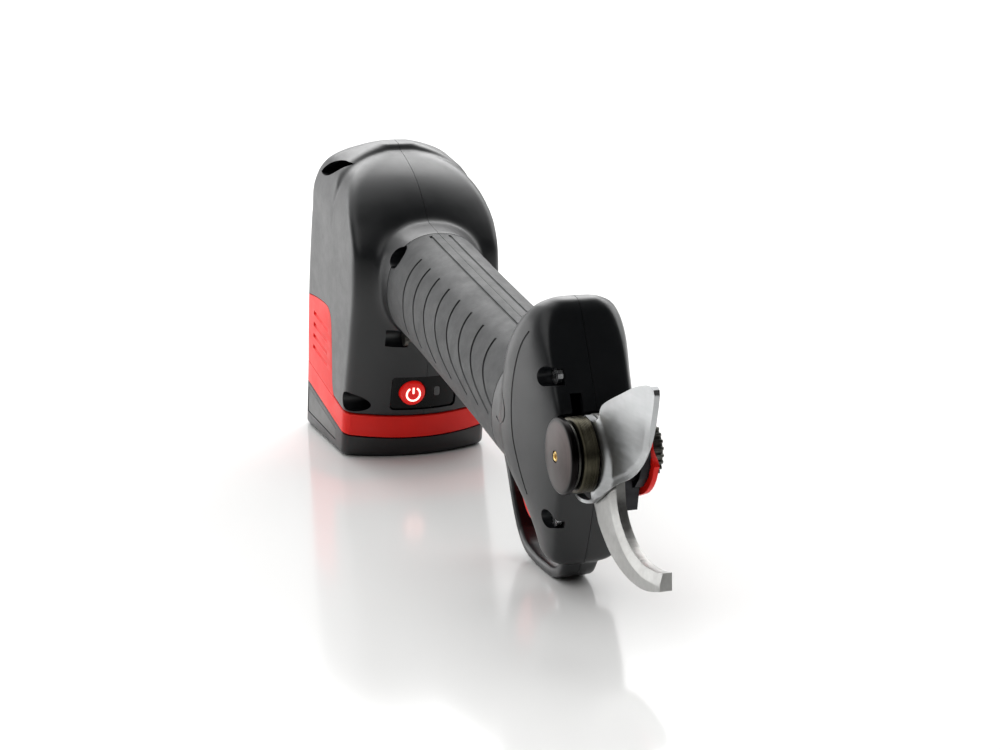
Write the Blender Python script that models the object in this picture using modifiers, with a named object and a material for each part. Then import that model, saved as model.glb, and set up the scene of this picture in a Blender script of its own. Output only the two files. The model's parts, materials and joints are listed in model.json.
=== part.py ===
"""Battery electric pruner: a cordless pruning shear, as an assembly of separate parts.

Lengths are in metres. The tool is modelled along its own axes: x points to the blades, y to the tool's left
and z up along the battery block. It stands pitched nose down on a table, so every part hangs on one empty,
tool_frame, that carries the pitch. Parts that touch keep a gap of 0.3 mm.
"""

import math

import bmesh
import bpy
from mathutils import Matrix, Vector

MM = 0.001
GAP = 0.3 * MM

# How the tool stands: pitch about y, and where the tool's own origin lies above the table.
PITCH = math.radians(10.0)
STAND_X = -84.62 * MM
STAND_Z = -0.6 * MM

# Rear block: the shell's wall, and horizontal stations of (z, back x, front corner x, half width, front bulge).
BLOCK_WALL = 2.4 * MM
SEAM_Z = 18.7 * MM
BLOCK_STATIONS = [
    (18.7, -59.0, 1.2, 27.7, 8.0),
    (30.0, -59.8, 3.0, 27.7, 8.0),
    (49.0, -60.4, 6.4, 27.7, 7.0),
    (65.0, -60.0, 8.2, 27.6, 6.0),
    (79.0, -58.8, 6.2, 27.5, 6.0),
    (88.0, -57.2, 1.0, 27.2, 6.5),
    (94.0, -55.2, -5.5, 26.0, 7.5),
    (99.0, -52.6, -12.5, 23.6, 8.0),
    (103.0, -49.2, -19.0, 19.2, 7.0),
    (106.0, -44.4, -25.5, 12.5, 4.0),
    (107.6, -39.5, -31.0, 6.0, 1.5),
]
RIM_STATIONS = [
    (71.0, -58.9, -22.5, 27.1, 0.0),
    (87.0, -57.9, -22.5, 27.6, 0.0),
    (95.0, -55.8, -23.0, 26.4, 0.0),
    (100.5, -53.0, -26.0, 23.8, 0.0),
    (104.5, -49.4, -29.0, 19.0, 0.0),
    (107.5, -45.0, -31.5, 12.8, 0.0),
    (109.6, -40.6, -34.0, 6.0, 0.0),
]
BACK_CORNER = 7.0 * MM
FRONT_CORNER = 3.5 * MM

# Grip: stations of (x, half width, half height) about its centre line, and the layers of its wall.
GRIP_Z = 71.3 * MM
GRIP_POWER = 2.25
FLARE_STATIONS = [(-4.0, 21.4, 22.6), (5.0, 20.8, 22.2), (10.0, 19.6, 21.3), (14.0, 18.5, 20.4), (17.0, 17.9, 19.8)]
GRIP_STATIONS = [(17.3, 17.8, 19.7), (45.0, 17.2, 19.4), (80.0, 17.1, 19.3), (110.0, 17.2, 19.4), (126.5, 17.4, 19.6)]
PAD_THICKNESS = 1.3 * MM
GRIP_WALL = 2.2 * MM

# Head: stations of (z, rear x, front x, half width, taper towards the front).
HEAD_POWER = 3.4
HEAD_WALL = 1.8 * MM
HEAD_STATIONS = [
    (36.8, 154.0, 163.0, 7.5, 0.0),
    (38.5, 151.5, 164.2, 10.2, 0.0),
    (45.0, 147.0, 165.6, 11.8, 0.05),
    (52.0, 141.0, 166.6, 13.6, 0.12),
    (60.0, 132.0, 167.4, 15.6, 0.22),
    (72.0, 127.0, 168.0, 16.8, 0.26),
    (84.0, 127.2, 164.6, 16.8, 0.24),
    (92.0, 128.6, 159.4, 16.6, 0.22),
    (99.0, 131.8, 154.6, 16.0, 0.18),
    (105.0, 135.4, 150.4, 14.2, 0.14),
    (109.6, 138.6, 147.0, 10.8, 0.10),
    (111.6, 140.4, 144.6, 6.4, 0.06),
]

# Trigger guard: the strap's outer line in (x, z), its thickness and half width.
GUARD_LINE = [
    (104.0, 54.5), (106.0, 50.3), (111.6, 43.4), (117.5, 35.6), (123.5, 29.3), (130.5, 25.6), (139.0, 25.4),
    (147.0, 26.6), (154.0, 28.2), (159.6, 31.8), (162.0, 37.5), (161.5, 42.0),
]
GUARD_THICKNESS = 3.0 * MM
GUARD_HALF_WIDTH = 5.2 * MM

# Blade pivot, in the tool's axes, and the stack along y.
PIVOT_X, PIVOT_Z = 174.2 * MM, 77.4 * MM
MOUTH_RADIUS = 13.0 * MM
CAP_RADIUS, CAP_TOP, CAP_BASE = 10.65 * MM, -16.0 * MM, -13.0 * MM
SHANK_RADIUS, SHANK_END = 5.0 * MM, 14.0 * MM
BORE_RADIUS = SHANK_RADIUS + GAP
WASHER = (-12.7 * MM, -11.9 * MM, 10.0 * MM)
HUB = (-11.6 * MM, -7.0 * MM, 10.85 * MM)
BLADE_Y = (-6.7 * MM, -4.5 * MM)
HOOK_Y = (-4.2 * MM, -0.7 * MM)
BOSS_Y = (-0.4 * MM, 5.1 * MM)
CHEEK_Y = (5.1 * MM, 7.7 * MM)
LOCK_Y = (8.0 * MM, 9.5 * MM)
NUT_Y = (9.8 * MM, 13.0 * MM)
HOOK_SCREW_Y = (HOOK_Y[0] + GAP, CHEEK_Y[1] - 1.5 * MM)
BUSH_RADIUS = 6.5 * MM

# Blade drive: the nut's pin slides in a curved slot of the blade tail, so that equal nut travel gives equal turn.
BLADE_TURN = math.radians(60.0)
NUT_TRAVEL = 7.0 * MM
DRIVE_Z = PIVOT_Z - 8.0 * MM
PIN_X = PIVOT_X - 14.0 * MM
PIN_RADIUS = 1.8 * MM
SLOT_HALF_WIDTH = PIN_RADIUS + GAP
TAIL_EDGE = 3.2 * MM
SCREW_RADIUS, NUT_RADIUS = 4.0 * MM, 6.2 * MM

# Trigger.
TRIGGER_X, TRIGGER_Z = 121.0 * MM, 58.0 * MM
TRIGGER_HALF_WIDTH = 4.0 * MM

# Battery pack: seams of the base and the red collar, its underside, which lies flat on the table, and the cells.
BASE_TOP_Z = 9.5 * MM
COLLAR_Z = (9.8 * MM, 18.4 * MM)
UNDERSIDE_Z, UNDERSIDE_SLOPE = -STAND_Z / math.cos(PITCH), math.tan(PITCH)
BASE_CHAMFER = 2.2 * MM
CASE_X, CASE_HALF_WIDTH = (-50.5 * MM, -7.5 * MM), 21.3 * MM
CASE_Z = (9.8 * MM, 80.0 * MM)
CELL_RADIUS, CELL_LENGTH, CELL_PITCH = 9.2 * MM, 65.0 * MM, 19.2 * MM

# Housing screws, driven from the right: (x, z, pocket radius).
SCREWS = [
    (-36.0, 100.0, 4.0), (2.3, 23.4, 3.8), (17.8, 83.2, 3.6), (12.4, 50.6, 3.4), (155.2, 93.2, 3.2), (162.5, 52.4, 3.2),
]
POCKET_FLOOR = -8.0 * MM

# Name: (red, green, blue), roughness, metallic.
FINISHES = {
    "housing": ((0.035, 0.038, 0.042), 0.45, 0.0),
    "grip": ((0.10, 0.105, 0.11), 0.75, 0.0),
    "red": ((0.60, 0.015, 0.012), 0.35, 0.0),
    "panel": ((0.01, 0.01, 0.012), 0.25, 0.0),
    "lens": ((0.25, 0.25, 0.26), 0.2, 0.0),
    "base": ((0.03, 0.032, 0.035), 0.5, 0.0),
    "blade": ((0.62, 0.63, 0.64), 0.32, 1.0),
    "hub": ((0.16, 0.15, 0.11), 0.5, 0.9),
    "bolt": ((0.06, 0.05, 0.048), 0.22, 0.8),
    "brass": ((0.55, 0.38, 0.14), 0.3, 1.0),
    "nut": ((0.12, 0.12, 0.11), 0.5, 0.8),
    "steel": ((0.55, 0.56, 0.57), 0.35, 1.0),
    "aluminium": ((0.5, 0.5, 0.51), 0.45, 1.0),
    "board": ((0.02, 0.12, 0.05), 0.5, 0.0),
    "cell": ((0.05, 0.12, 0.35), 0.4, 0.0),
    "case": ((0.05, 0.05, 0.055), 0.6, 0.0),
}


def millimetres(rows):
    """Rows of lengths given in millimetres, as metres."""
    return [tuple(value * MM for value in row) for row in rows]


# ---------------------------------------------------------------- scene and objects

def clear_scene():
    for item in list(bpy.data.objects):
        bpy.data.objects.remove(item, do_unlink=True)


def new_collection(name):
    collection = bpy.data.collections.new(name)
    bpy.context.scene.collection.children.link(collection)
    return collection


def finish_material(name):
    material = bpy.data.materials.get(name)
    if material is None:
        colour, roughness, metallic = FINISHES[name]
        material = bpy.data.materials.new(name)
        material.use_nodes = True
        shader = material.node_tree.nodes["Principled BSDF"]
        shader.inputs["Base Color"].default_value = (*colour, 1.0)
        shader.inputs["Roughness"].default_value = roughness
        shader.inputs["Metallic"].default_value = metallic
    return material


def place(name, mesh, finish=None, at=(0.0, 0.0, 0.0), turn=(0.0, 0.0, 0.0)):
    """An object on the tool's frame: a part when it has a finish, else a cutter or guide."""
    item = bpy.data.objects.new(name, mesh)
    item.parent = FRAME
    item.location = at
    item.rotation_euler = turn
    if finish:
        material = finish_material(finish).copy()
        material.name = name
        mesh.materials.clear()
        mesh.materials.append(material)
        PARTS.objects.link(item)
    else:
        item.hide_render = True
        item.display_type = "WIRE"
        GUIDES.objects.link(item)
    return item


def boolean(item, other, operation):
    modifier = item.modifiers.new(operation.lower(), "BOOLEAN")
    modifier.operation = operation
    modifier.object = other
    return item


def cut(item, *cutters):
    for cutter in cutters:
        boolean(item, cutter, "DIFFERENCE")
    return item


def join(item, *others):
    for other in others:
        boolean(item, other, "UNION")
    return item


def weld(item):
    """Merges corners that a cut left closer than a hundredth of a millimetre."""
    modifier = item.modifiers.new("weld", "WELD")
    modifier.merge_threshold = 0.01 * MM


def baked_mesh(item):
    """The item's mesh with its modifiers applied, in the tool's own axes."""
    bpy.context.view_layer.update()
    evaluated = item.evaluated_get(bpy.context.evaluated_depsgraph_get())
    mesh = bpy.data.meshes.new_from_object(evaluated)
    mesh.transform(item.matrix_local)
    return mesh


# ---------------------------------------------------------------- basic shapes

def mesh_of(name, build):
    """A mesh filled by build(bm)."""
    bm = bmesh.new()
    build(bm)
    mesh = bpy.data.meshes.new(name)
    bm.to_mesh(mesh)
    bm.free()
    return mesh


def box(name, x, y, z, finish=None):
    """A box between the given (low, high) pairs."""
    def build(bm):
        bmesh.ops.create_cube(bm, size=1.0)
        for vert in bm.verts:
            vert.co = Vector(low + (co + 0.5) * (high - low) for (low, high), co in zip((x, y, z), vert.co))
    return place(name, mesh_of(name, build), finish)


def cylinder(name, radius, along, span, centre, finish=None, sides=32):
    """A cylinder along axis "x", "y" or "z" between span; centre gives the other two coordinates."""
    turn = {"x": (0.0, math.pi / 2, 0.0), "y": (-math.pi / 2, 0.0, 0.0), "z": (0.0, 0.0, 0.0)}[along]
    low, high = span
    middle = (low + high) / 2
    at = {"x": (middle, *centre), "y": (centre[0], middle, centre[1]), "z": (*centre, middle)}[along]
    mesh = mesh_of(name, lambda bm: bmesh.ops.create_cone(
        bm, cap_ends=True, segments=sides, radius1=radius, radius2=radius, depth=high - low))
    return place(name, mesh, finish, at, turn)


def turned(name, profile, along, centre, finish=None, steps=32, closed=False):
    """A turned piece: profile is (radius, height) from the top down its outer side; a closed one has a bore."""
    def build(bm):
        verts = [bm.verts.new((radius, 0.0, height)) for radius, height in profile]
        for first, second in zip(verts, verts[1:]):
            bm.edges.new((first, second))
        if closed:
            bm.edges.new((verts[-1], verts[0]))
    turn = {"x": (0.0, math.pi / 2, 0.0), "y": (-math.pi / 2, 0.0, 0.0), "z": (0.0, 0.0, 0.0)}[along]
    at = {"x": (0.0, *centre), "y": (centre[0], 0.0, centre[1]), "z": (*centre, 0.0)}[along]
    item = place(name, mesh_of(name, build), finish, at, turn)
    screw = item.modifiers.new("turn", "SCREW")
    screw.steps = screw.render_steps = steps
    screw.use_merge_vertices = True
    screw.merge_threshold = 0.01 * MM
    return item


def ring(name, inner, outer, along, span, centre, finish=None, steps=32):
    low, high = span
    profile = [(outer, high), (outer, low), (inner, low), (inner, high)]
    return turned(name, profile, along, centre, finish, steps, closed=True)


def flat_plate(name, outlines, y, finish=None, origin=(0.0, 0.0)):
    """A flat plate across y with the given closed (x, z) outlines; inner outlines become holes."""
    curve = bpy.data.curves.new(name, "CURVE")
    curve.dimensions = "2D"
    curve.fill_mode = "BOTH"
    curve.extrude = (y[1] - y[0]) / 2
    for outline in outlines:
        spline = curve.splines.new("POLY")
        spline.points.add(len(outline) - 1)
        spline.use_cyclic_u = True
        for point, (x, z) in zip(spline.points, outline):
            point.co = (x - origin[0], z - origin[1], 0.0, 1.0)
    source = bpy.data.objects.new(name + "_curve", curve)
    GUIDES.objects.link(source)
    bpy.context.view_layer.update()
    mesh = bpy.data.meshes.new_from_object(source.evaluated_get(bpy.context.evaluated_depsgraph_get()))
    bpy.data.objects.remove(source)
    bm = bmesh.new()
    bm.from_mesh(mesh)
    bmesh.ops.remove_doubles(bm, verts=bm.verts, dist=0.005 * MM)
    bmesh.ops.recalc_face_normals(bm, faces=bm.faces)
    bmesh.ops.transform(bm, matrix=Matrix.Rotation(math.pi / 2, 4, "X"), verts=bm.verts)
    bm.to_mesh(mesh)
    bm.free()
    return place(name, mesh, finish, (origin[0], (y[0] + y[1]) / 2, origin[1]))


def loft(name, rings, finish=None):
    """A closed skin over rings of points that all have the same count, capped at both ends."""
    def build(bm):
        loops = [[bm.verts.new(point) for point in points] for points in rings]
        count = len(loops[0])
        for low, high in zip(loops, loops[1:]):
            for i in range(count):
                j = (i + 1) % count
                bm.faces.new((low[i], low[j], high[j], high[i]))
        bm.faces.new(reversed(loops[0]))
        bm.faces.new(loops[-1])
        bmesh.ops.recalc_face_normals(bm, faces=bm.faces)
    return place(name, mesh_of(name, build), finish)


def coil(name, radius, wire, along, span, centre, turns, finish):
    """A wire coil as a POLY curve, made a mesh with welded caps."""
    points_per_turn = 8
    count = int(turns * points_per_turn)
    curve = bpy.data.curves.new(name, "CURVE")
    curve.dimensions = "3D"
    curve.bevel_depth = wire
    curve.bevel_resolution = 1
    curve.use_fill_caps = True
    spline = curve.splines.new("POLY")
    spline.points.add(count)
    for i, point in enumerate(spline.points):
        angle = 2 * math.pi * i / points_per_turn
        height = span[0] + (span[1] - span[0]) * i / count
        across = (radius * math.cos(angle), radius * math.sin(angle))
        if along == "y":
            point.co = (centre[0] + across[0], height, centre[1] + across[1], 1.0)
        else:
            point.co = (height, centre[0] + across[0], centre[1] + across[1], 1.0)
    source = bpy.data.objects.new(name + "_curve", curve)
    GUIDES.objects.link(source)
    bpy.context.view_layer.update()
    mesh = bpy.data.meshes.new_from_object(source.evaluated_get(bpy.context.evaluated_depsgraph_get()))
    bpy.data.objects.remove(source)
    bm = bmesh.new()
    bm.from_mesh(mesh)
    bmesh.ops.remove_doubles(bm, verts=bm.verts, dist=0.002 * MM)
    bmesh.ops.recalc_face_normals(bm, faces=bm.faces)
    bm.to_mesh(mesh)
    bm.free()
    return place(name, mesh, finish)


def arc(centre, radius, start, stop, count):
    """Points on an arc, angles in degrees, from start to stop."""
    steps = [math.radians(start + (stop - start) * i / (count - 1)) for i in range(count)]
    return [(centre[0] + radius * math.cos(a), centre[1] + radius * math.sin(a)) for a in steps]


# ---------------------------------------------------------------- sections of the body

def block_ring(z, back, front, half_width, bulge, inset=0.0, slope=0.0):
    """A horizontal section of the block: round corners, and a front face that bows out by bulge."""
    back, front, half_width = back + inset, front - inset, half_width - inset
    near = min(FRONT_CORNER, half_width * 0.45, (front - back) * 0.3)
    far = min(BACK_CORNER, half_width * 0.7, (front - back) * 0.45)
    outline = []
    flat = half_width - near
    outline += [(front, -flat + 2 * flat * i / 6) for i in range(7)]
    outline += arc((front - near, half_width - near), near, 0, 90, 4)[1:]
    outline += arc((back + far, half_width - far), far, 90, 180, 5)
    outline += arc((back + far, far - half_width), far, 180, 270, 5)
    outline += arc((front - near, near - half_width), near, 270, 360, 4)[:-1]
    points = []
    for x, y in outline:
        share = max(0.0, (x - back) / (front - back))
        bow = bulge * (1 - (y / half_width) ** 2) * share ** 3
        points.append(Vector((x + bow, y, z + slope * (x + bow))))
    return points


def power_ring(count, half_a, half_b, power):
    """Points of a superellipse in its own plane."""
    points = []
    for i in range(count):
        angle = 2 * math.pi * (i + 0.5) / count
        c, s = math.cos(angle), math.sin(angle)
        points.append((half_a * math.copysign(abs(c) ** (2 / power), c),
                       half_b * math.copysign(abs(s) ** (2 / power), s)))
    return points


def grip_ring(x, half_width, half_height, inset=0.0):
    section = power_ring(20, half_width - inset, half_height - inset, GRIP_POWER)
    return [Vector((x, y, GRIP_Z + z)) for y, z in section]


def head_ring(z, rear, front, half_width, taper, inset=0.0):
    middle, half_depth = (rear + front) / 2, (front - rear) / 2 - inset
    points = []
    for x, y in power_ring(20, half_depth, half_width - inset, HEAD_POWER):
        points.append(Vector((middle + x, y * (1 - taper * x / half_depth), z)))
    return points


def block_solid(name, stations, inset=0.0, floor=None):
    rings = [block_ring(*row, inset=inset) for row in millimetres(stations)]
    if inset:
        for point in rings[-1]:
            point.z -= inset
        for point in rings[0]:
            point.z = floor
    return loft(name, rings)


def head_stations():
    return [(z * MM, rear * MM, front * MM, width * MM, taper) for z, rear, front, width, taper in HEAD_STATIONS]


def guard_solid():
    """The strap that runs under the trigger: rectangular sections square to its line."""
    line = [Vector((x * MM, 0.0, z * MM)) for x, z in GUARD_LINE]
    rings = []
    for i, point in enumerate(line):
        before, after = line[max(0, i - 1)], line[min(len(line) - 1, i + 1)]
        along = (after - before).normalized()
        inward = Vector((-along.z, 0.0, along.x))
        w, t = GUARD_HALF_WIDTH, GUARD_THICKNESS
        rings.append([point + Vector((0, -w, 0)), point + Vector((0, w, 0)),
                      point + inward * t + Vector((0, w, 0)), point + inward * t + Vector((0, -w, 0))])
    return loft("guard_solid", rings)


# ---------------------------------------------------------------- housing

def housing_shell():
    """Block, grip core, head and guard as one hollow body, with its screw posts, before it is split."""
    outer = block_solid("block_outer", BLOCK_STATIONS)
    rim = block_solid("rim_outer", RIM_STATIONS)
    flare = loft("flare_outer", [grip_ring(*row) for row in millimetres(FLARE_STATIONS)])
    core_rows = [(10.0, 17.8, 19.7)] + GRIP_STATIONS[1:-1] + [(136.0, 17.4, 19.6)]
    core_inset = PAD_THICKNESS + GAP
    core = loft("core_outer", [grip_ring(*row, inset=core_inset) for row in millimetres(core_rows)])
    head = loft("head_outer", [head_ring(*row) for row in head_stations()])
    join(outer, rim, flare, core, head, guard_solid())
    solid = place("body_outer", baked_mesh(outer))

    hollow = block_solid("block_inner", BLOCK_STATIONS[:-2], inset=BLOCK_WALL, floor=0.0)
    bore_rows = [(-8.0, 17.8, 19.7)] + GRIP_STATIONS[1:-1] + [(140.0, 17.4, 19.6)]
    bore_inset = core_inset + GRIP_WALL
    bore = loft("core_inner", [grip_ring(*row, inset=bore_inset) for row in millimetres(bore_rows)])
    inner_rows = [row for row in head_stations() if 40 * MM < row[0] < 107 * MM]
    chamber = loft("head_inner", [head_ring(*row, inset=HEAD_WALL) for row in inner_rows])
    join(hollow, bore, chamber)
    room = place("body_inner", baked_mesh(hollow))
    cut(room, *[screw_post(i, x * MM, z * MM, radius * MM) for i, (x, z, radius) in enumerate(SCREWS)])
    cut(solid, place("body_room", baked_mesh(room)))
    return solid


def screw_post(index, x, z, pocket):
    """A stepped post: a sleeve around the pocket on the right, then a slimmer post to the left wall."""
    top, step, end = -30 * MM, POCKET_FLOOR + 1.2 * MM, 30 * MM
    sleeve, slim = pocket + 1.2 * MM, 3.0 * MM
    profile = [(0.0, end), (slim, end), (slim, step), (sleeve, step), (sleeve, top), (0.0, top)]
    return turned(f"post_{index + 1}", profile, "y", (x, z), steps=12)


def screw_pocket(index, x, z, pocket):
    """The space of a screw: its pocket from the right, and a hole for the shank that ends in the left half."""
    top, end, shank = -31 * MM, 6.4 * MM, 1.5 * MM + GAP
    profile = [(0.0, end), (shank, end), (shank, POCKET_FLOOR), (pocket, POCKET_FLOOR), (pocket, top), (0.0, top)]
    return turned(f"pocket_{index + 1}", profile, "y", (x, z), steps=16)


def pad_outline(grow=0.0):
    """Side view of a release pad; grow widens it for the opening in the housing, which is open at the bottom."""
    points = millimetres([(-54.5, 18.7), (-13.6, 18.7), (-15.6, 21.0), (-17.0, 25.0), (-18.6, 36.0),
                          (-20.4, 45.6), (-23.0, 49.2), (-28.0, 50.2), (-41.0, 48.4), (-54.5, 45.4)])
    middle = Vector((-36.0 * MM, 30.0 * MM))
    outline = []
    for point in points:
        away = Vector(point) - middle
        outline.append(tuple(middle + away * (1 + grow / max(abs(away.x), abs(away.y)))))
    if grow:
        below = SEAM_Z - 2 * MM
        outline = [(outline[0][0], below), (outline[1][0], below)] + outline[1:]
    return outline


def make_housings():
    shell = housing_shell()
    span = (-40 * MM, 40 * MM)
    mouth = cylinder("mouth_round", MOUTH_RADIUS, "y", span, (PIVOT_X, PIVOT_Z), sides=36)
    throat = box("mouth_lower", (159.5 * MM, 190 * MM), span, (61.6 * MM, PIVOT_Z + 1.3 * MM))
    slot_half = TRIGGER_HALF_WIDTH + 0.5 * MM
    tail_y = (BLADE_Y[0] - 2 * GAP, BLADE_Y[1] + 2 * GAP)
    tail_slot = box("tail_slot", (154.3 * MM, 190 * MM), tail_y, (62.3 * MM, PIVOT_Z + 14.2 * MM))
    trigger_slot = box("trigger_slot", (111.2 * MM, 133.7 * MM), (-slot_half, slot_half), (42.7 * MM, 63.3 * MM))
    panel_hole = box("panel_hole", (3.0 * MM, 20 * MM), (-12.5 * MM, 12.5 * MM), (21.2 * MM, 34.9 * MM))
    frame_room = flat_plate("frame_room", [cheek_outline(GAP)], (CHEEK_Y[0] - GAP, CHEEK_Y[1] + GAP))
    nut_room = cylinder("nut_room", 8.6 * MM, "x", (118 * MM, 160 * MM), (0.0, DRIVE_Z))
    pockets = [screw_pocket(i, x * MM, z * MM, radius * MM) for i, (x, z, radius) in enumerate(SCREWS)]
    cut(shell, mouth, throat, tail_slot, trigger_slot, panel_hole, frame_room, nut_room, *pockets)
    for side, sign in (("right", -1), ("left", 1)):
        y = sorted((sign * 21.6 * MM, sign * 30 * MM))
        cut(shell, flat_plate(f"pad_opening_{side}", [pad_outline(GAP)], y))
    pin_bore = cylinder("trigger_pin_bore", 1.5 * MM + GAP, "y", (-9.3 * MM, 9.3 * MM), (TRIGGER_X, TRIGGER_Z))
    spring_room = cylinder("spring_room", 3.4 * MM, "y", (2.0 * MM, 8.2 * MM), (TRIGGER_X, TRIGGER_Z), sides=24)
    cut(shell, pin_bore, spring_room)
    whole = baked_mesh(shell)
    for side, sign in (("right", -1), ("left", 1)):
        item = place(f"{side}_housing", whole.copy(), "housing")
        y = sorted((sign * GAP / 2, sign * 60 * MM))
        half = box(f"{side}_half", (-90 * MM, 220 * MM), y, (-10 * MM, 140 * MM))
        boolean(item, half, "INTERSECT")
        weld(item)


def make_grip_pads():
    outer = loft("pad_outer", [grip_ring(*row) for row in millimetres(GRIP_STATIONS)])
    inner_rows = millimetres(GRIP_STATIONS)
    inner_rows[0] = (inner_rows[0][0] - 5 * MM, *inner_rows[0][1:])
    inner_rows[-1] = (inner_rows[-1][0] + 5 * MM, *inner_rows[-1][1:])
    cut(outer, loft("pad_inner", [grip_ring(*row, inset=PAD_THICKNESS) for row in inner_rows]))
    strap_room = box("pad_guard_gap", (98 * MM, 135 * MM), (-6.2 * MM, 6.2 * MM), (40 * MM, 60 * MM))
    cut(outer, strap_room)
    for index in (2, 3):
        x, z, radius = SCREWS[index]
        cut(outer, cylinder(f"pad_pocket_{index}", (radius + 0.4) * MM, "y", (-30 * MM, -4 * MM), (x * MM, z * MM)))
    whole = baked_mesh(outer)
    for side, sign in (("right", -1), ("left", 1)):
        item = place(f"grip_pad_{side}", whole.copy(), "grip")
        y = sorted((sign * GAP / 2, sign * 60 * MM))
        half = box(f"pad_{side}_half", (0.0, 140 * MM), y, (20 * MM, 120 * MM))
        boolean(item, half, "INTERSECT")


def make_housing_screws():
    for i, (x, z, radius) in enumerate(SCREWS):
        head, shank, crown = (radius - 0.7) * MM, 1.5 * MM, POCKET_FLOOR - 1.8 * MM
        floor, end = POCKET_FLOOR - GAP, 6.0 * MM
        profile = [(0.0, end), (shank, end), (shank, floor), (head, floor), (head, crown), (0.0, crown)]
        turned(f"housing_screw_{i + 1}", profile, "y", (x * MM, z * MM), "steel", steps=12)


# ---------------------------------------------------------------- head and blades

def cheek_outline(grow=0.0):
    """Side view of the frame's cheek: a bar from the bearing seat to a round eye at the pivot."""
    eye = 11.0 * MM + grow
    rear, shoulder = 104 * MM - grow, 113.5 * MM + grow
    top, bottom = DRIVE_Z + 8 * MM + grow, DRIVE_Z - 8 * MM - grow
    lift = 2 * MM
    outline = [(shoulder, top), (shoulder - lift, top + lift), (rear, top + lift), (rear, bottom - lift),
               (shoulder - lift, bottom - lift), (shoulder, bottom), (PIVOT_X - 12 * MM, bottom)]
    outline += arc((PIVOT_X, PIVOT_Z), eye, 235, 480, 13)
    return outline + [(PIVOT_X - 14 * MM, PIVOT_Z + 8.6 * MM + grow), (PIVOT_X - 24 * MM, top)]


def make_head_frame():
    frame = flat_plate("head_frame", [cheek_outline()], CHEEK_Y, "aluminium")
    seat = ring("bearing_seat", 9.6 * MM, 12.6 * MM, "x", (104 * MM, 112 * MM), (0.0, DRIVE_Z), steps=24)
    eye = cylinder("pivot_eye", 9.2 * MM, "y", (BOSS_Y[0], CHEEK_Y[0] + 1 * MM), (PIVOT_X, PIVOT_Z), sides=24)
    lug = box("hook_lug", (PIVOT_X - 2 * MM, PIVOT_X + 6.5 * MM), (BOSS_Y[0], CHEEK_Y[1] - 0.5 * MM),
              (PIVOT_Z - 15.4 * MM, PIVOT_Z - 6 * MM))
    cut(frame, cylinder("bearing_room", 9.3 * MM, "x", (98 * MM, 113 * MM), (0.0, DRIVE_Z), sides=24))
    cut(frame, cylinder("nut_channel", NUT_RADIUS + GAP, "x", (112 * MM, 159 * MM), (0.0, DRIVE_Z), sides=24))
    join(frame, seat, eye, lug)
    bore = cylinder("frame_bore", BORE_RADIUS, "y", (-5 * MM, 30 * MM), (PIVOT_X, PIVOT_Z), sides=24)
    hole = cylinder("lug_hole", 1.5 * MM + GAP, "y", (-5 * MM, HOOK_SCREW_Y[1] + GAP), hook_screw_centre(), sides=12)
    cut(frame, bore, hole)


def hook_screw_centre():
    return PIVOT_X + 2.2 * MM, PIVOT_Z - 11.6 * MM


def about_pivot(points):
    return [(PIVOT_X + x * MM, PIVOT_Z + z * MM) for x, z in points]


def make_counter_blade():
    """The fixed hook: a curved anvil whose inner edge meets the blade, clamped around the pivot."""
    outline = about_pivot([
        (2.6, -14.6), (6.0, -18.2), (13.3, -22.0), (20.5, -23.8), (29.4, -24.0), (38.9, -22.0), (47.5, -17.9),
        (46.4, -13.2), (42.0, -15.0), (34.4, -16.6), (26.6, -16.0), (20.0, -13.0), (15.8, -8.6), (13.6, -3.0),
        (12.2, 2.0), (9.4, 7.2), (4.6, 10.4), (-1.0, 11.0), (-5.5, 9.2), (-8.4, 5.2), (-8.4, 0.4), (-6.8, -2.8),
        (-5.0, -4.8), (-3.2, -6.4), (-3.0, -11.2),
    ])
    bore = arc((PIVOT_X, PIVOT_Z), BORE_RADIUS, 345, 0, 24)
    hole = arc(hook_screw_centre(), 1.5 * MM + GAP, 330, 0, 12)
    item = flat_plate("counter_blade", [outline, bore, hole], HOOK_Y, "blade")
    soften(item, 0.3 * MM)
    x, z = hook_screw_centre()
    start, end = HOOK_SCREW_Y
    profile = [(0.0, end), (1.5 * MM, end), (1.5 * MM, start), (0.0, start)]
    turned("counter_blade_screw", profile, "y", (x, z), "steel", steps=12)


def slot_centre(turn):
    """Where the nut's pin lies in the blade's own axes, about the pivot, after the blade has turned."""
    x = PIN_X - PIVOT_X + NUT_TRAVEL * turn / BLADE_TURN
    z = DRIVE_Z - PIVOT_Z
    return Vector((x * math.cos(turn) - z * math.sin(turn), x * math.sin(turn) + z * math.cos(turn)))


def round_end(centre, normal, radius):
    """Points of a half circle about centre, from the side of normal round to the other side."""
    ahead = Vector((normal.y, -normal.x))
    angles = [math.radians(angle) for angle in (30, 60, 90, 120, 150)]
    return [centre + (normal * math.cos(a) + ahead * math.sin(a)) * radius * 1.02 for a in angles]


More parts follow.
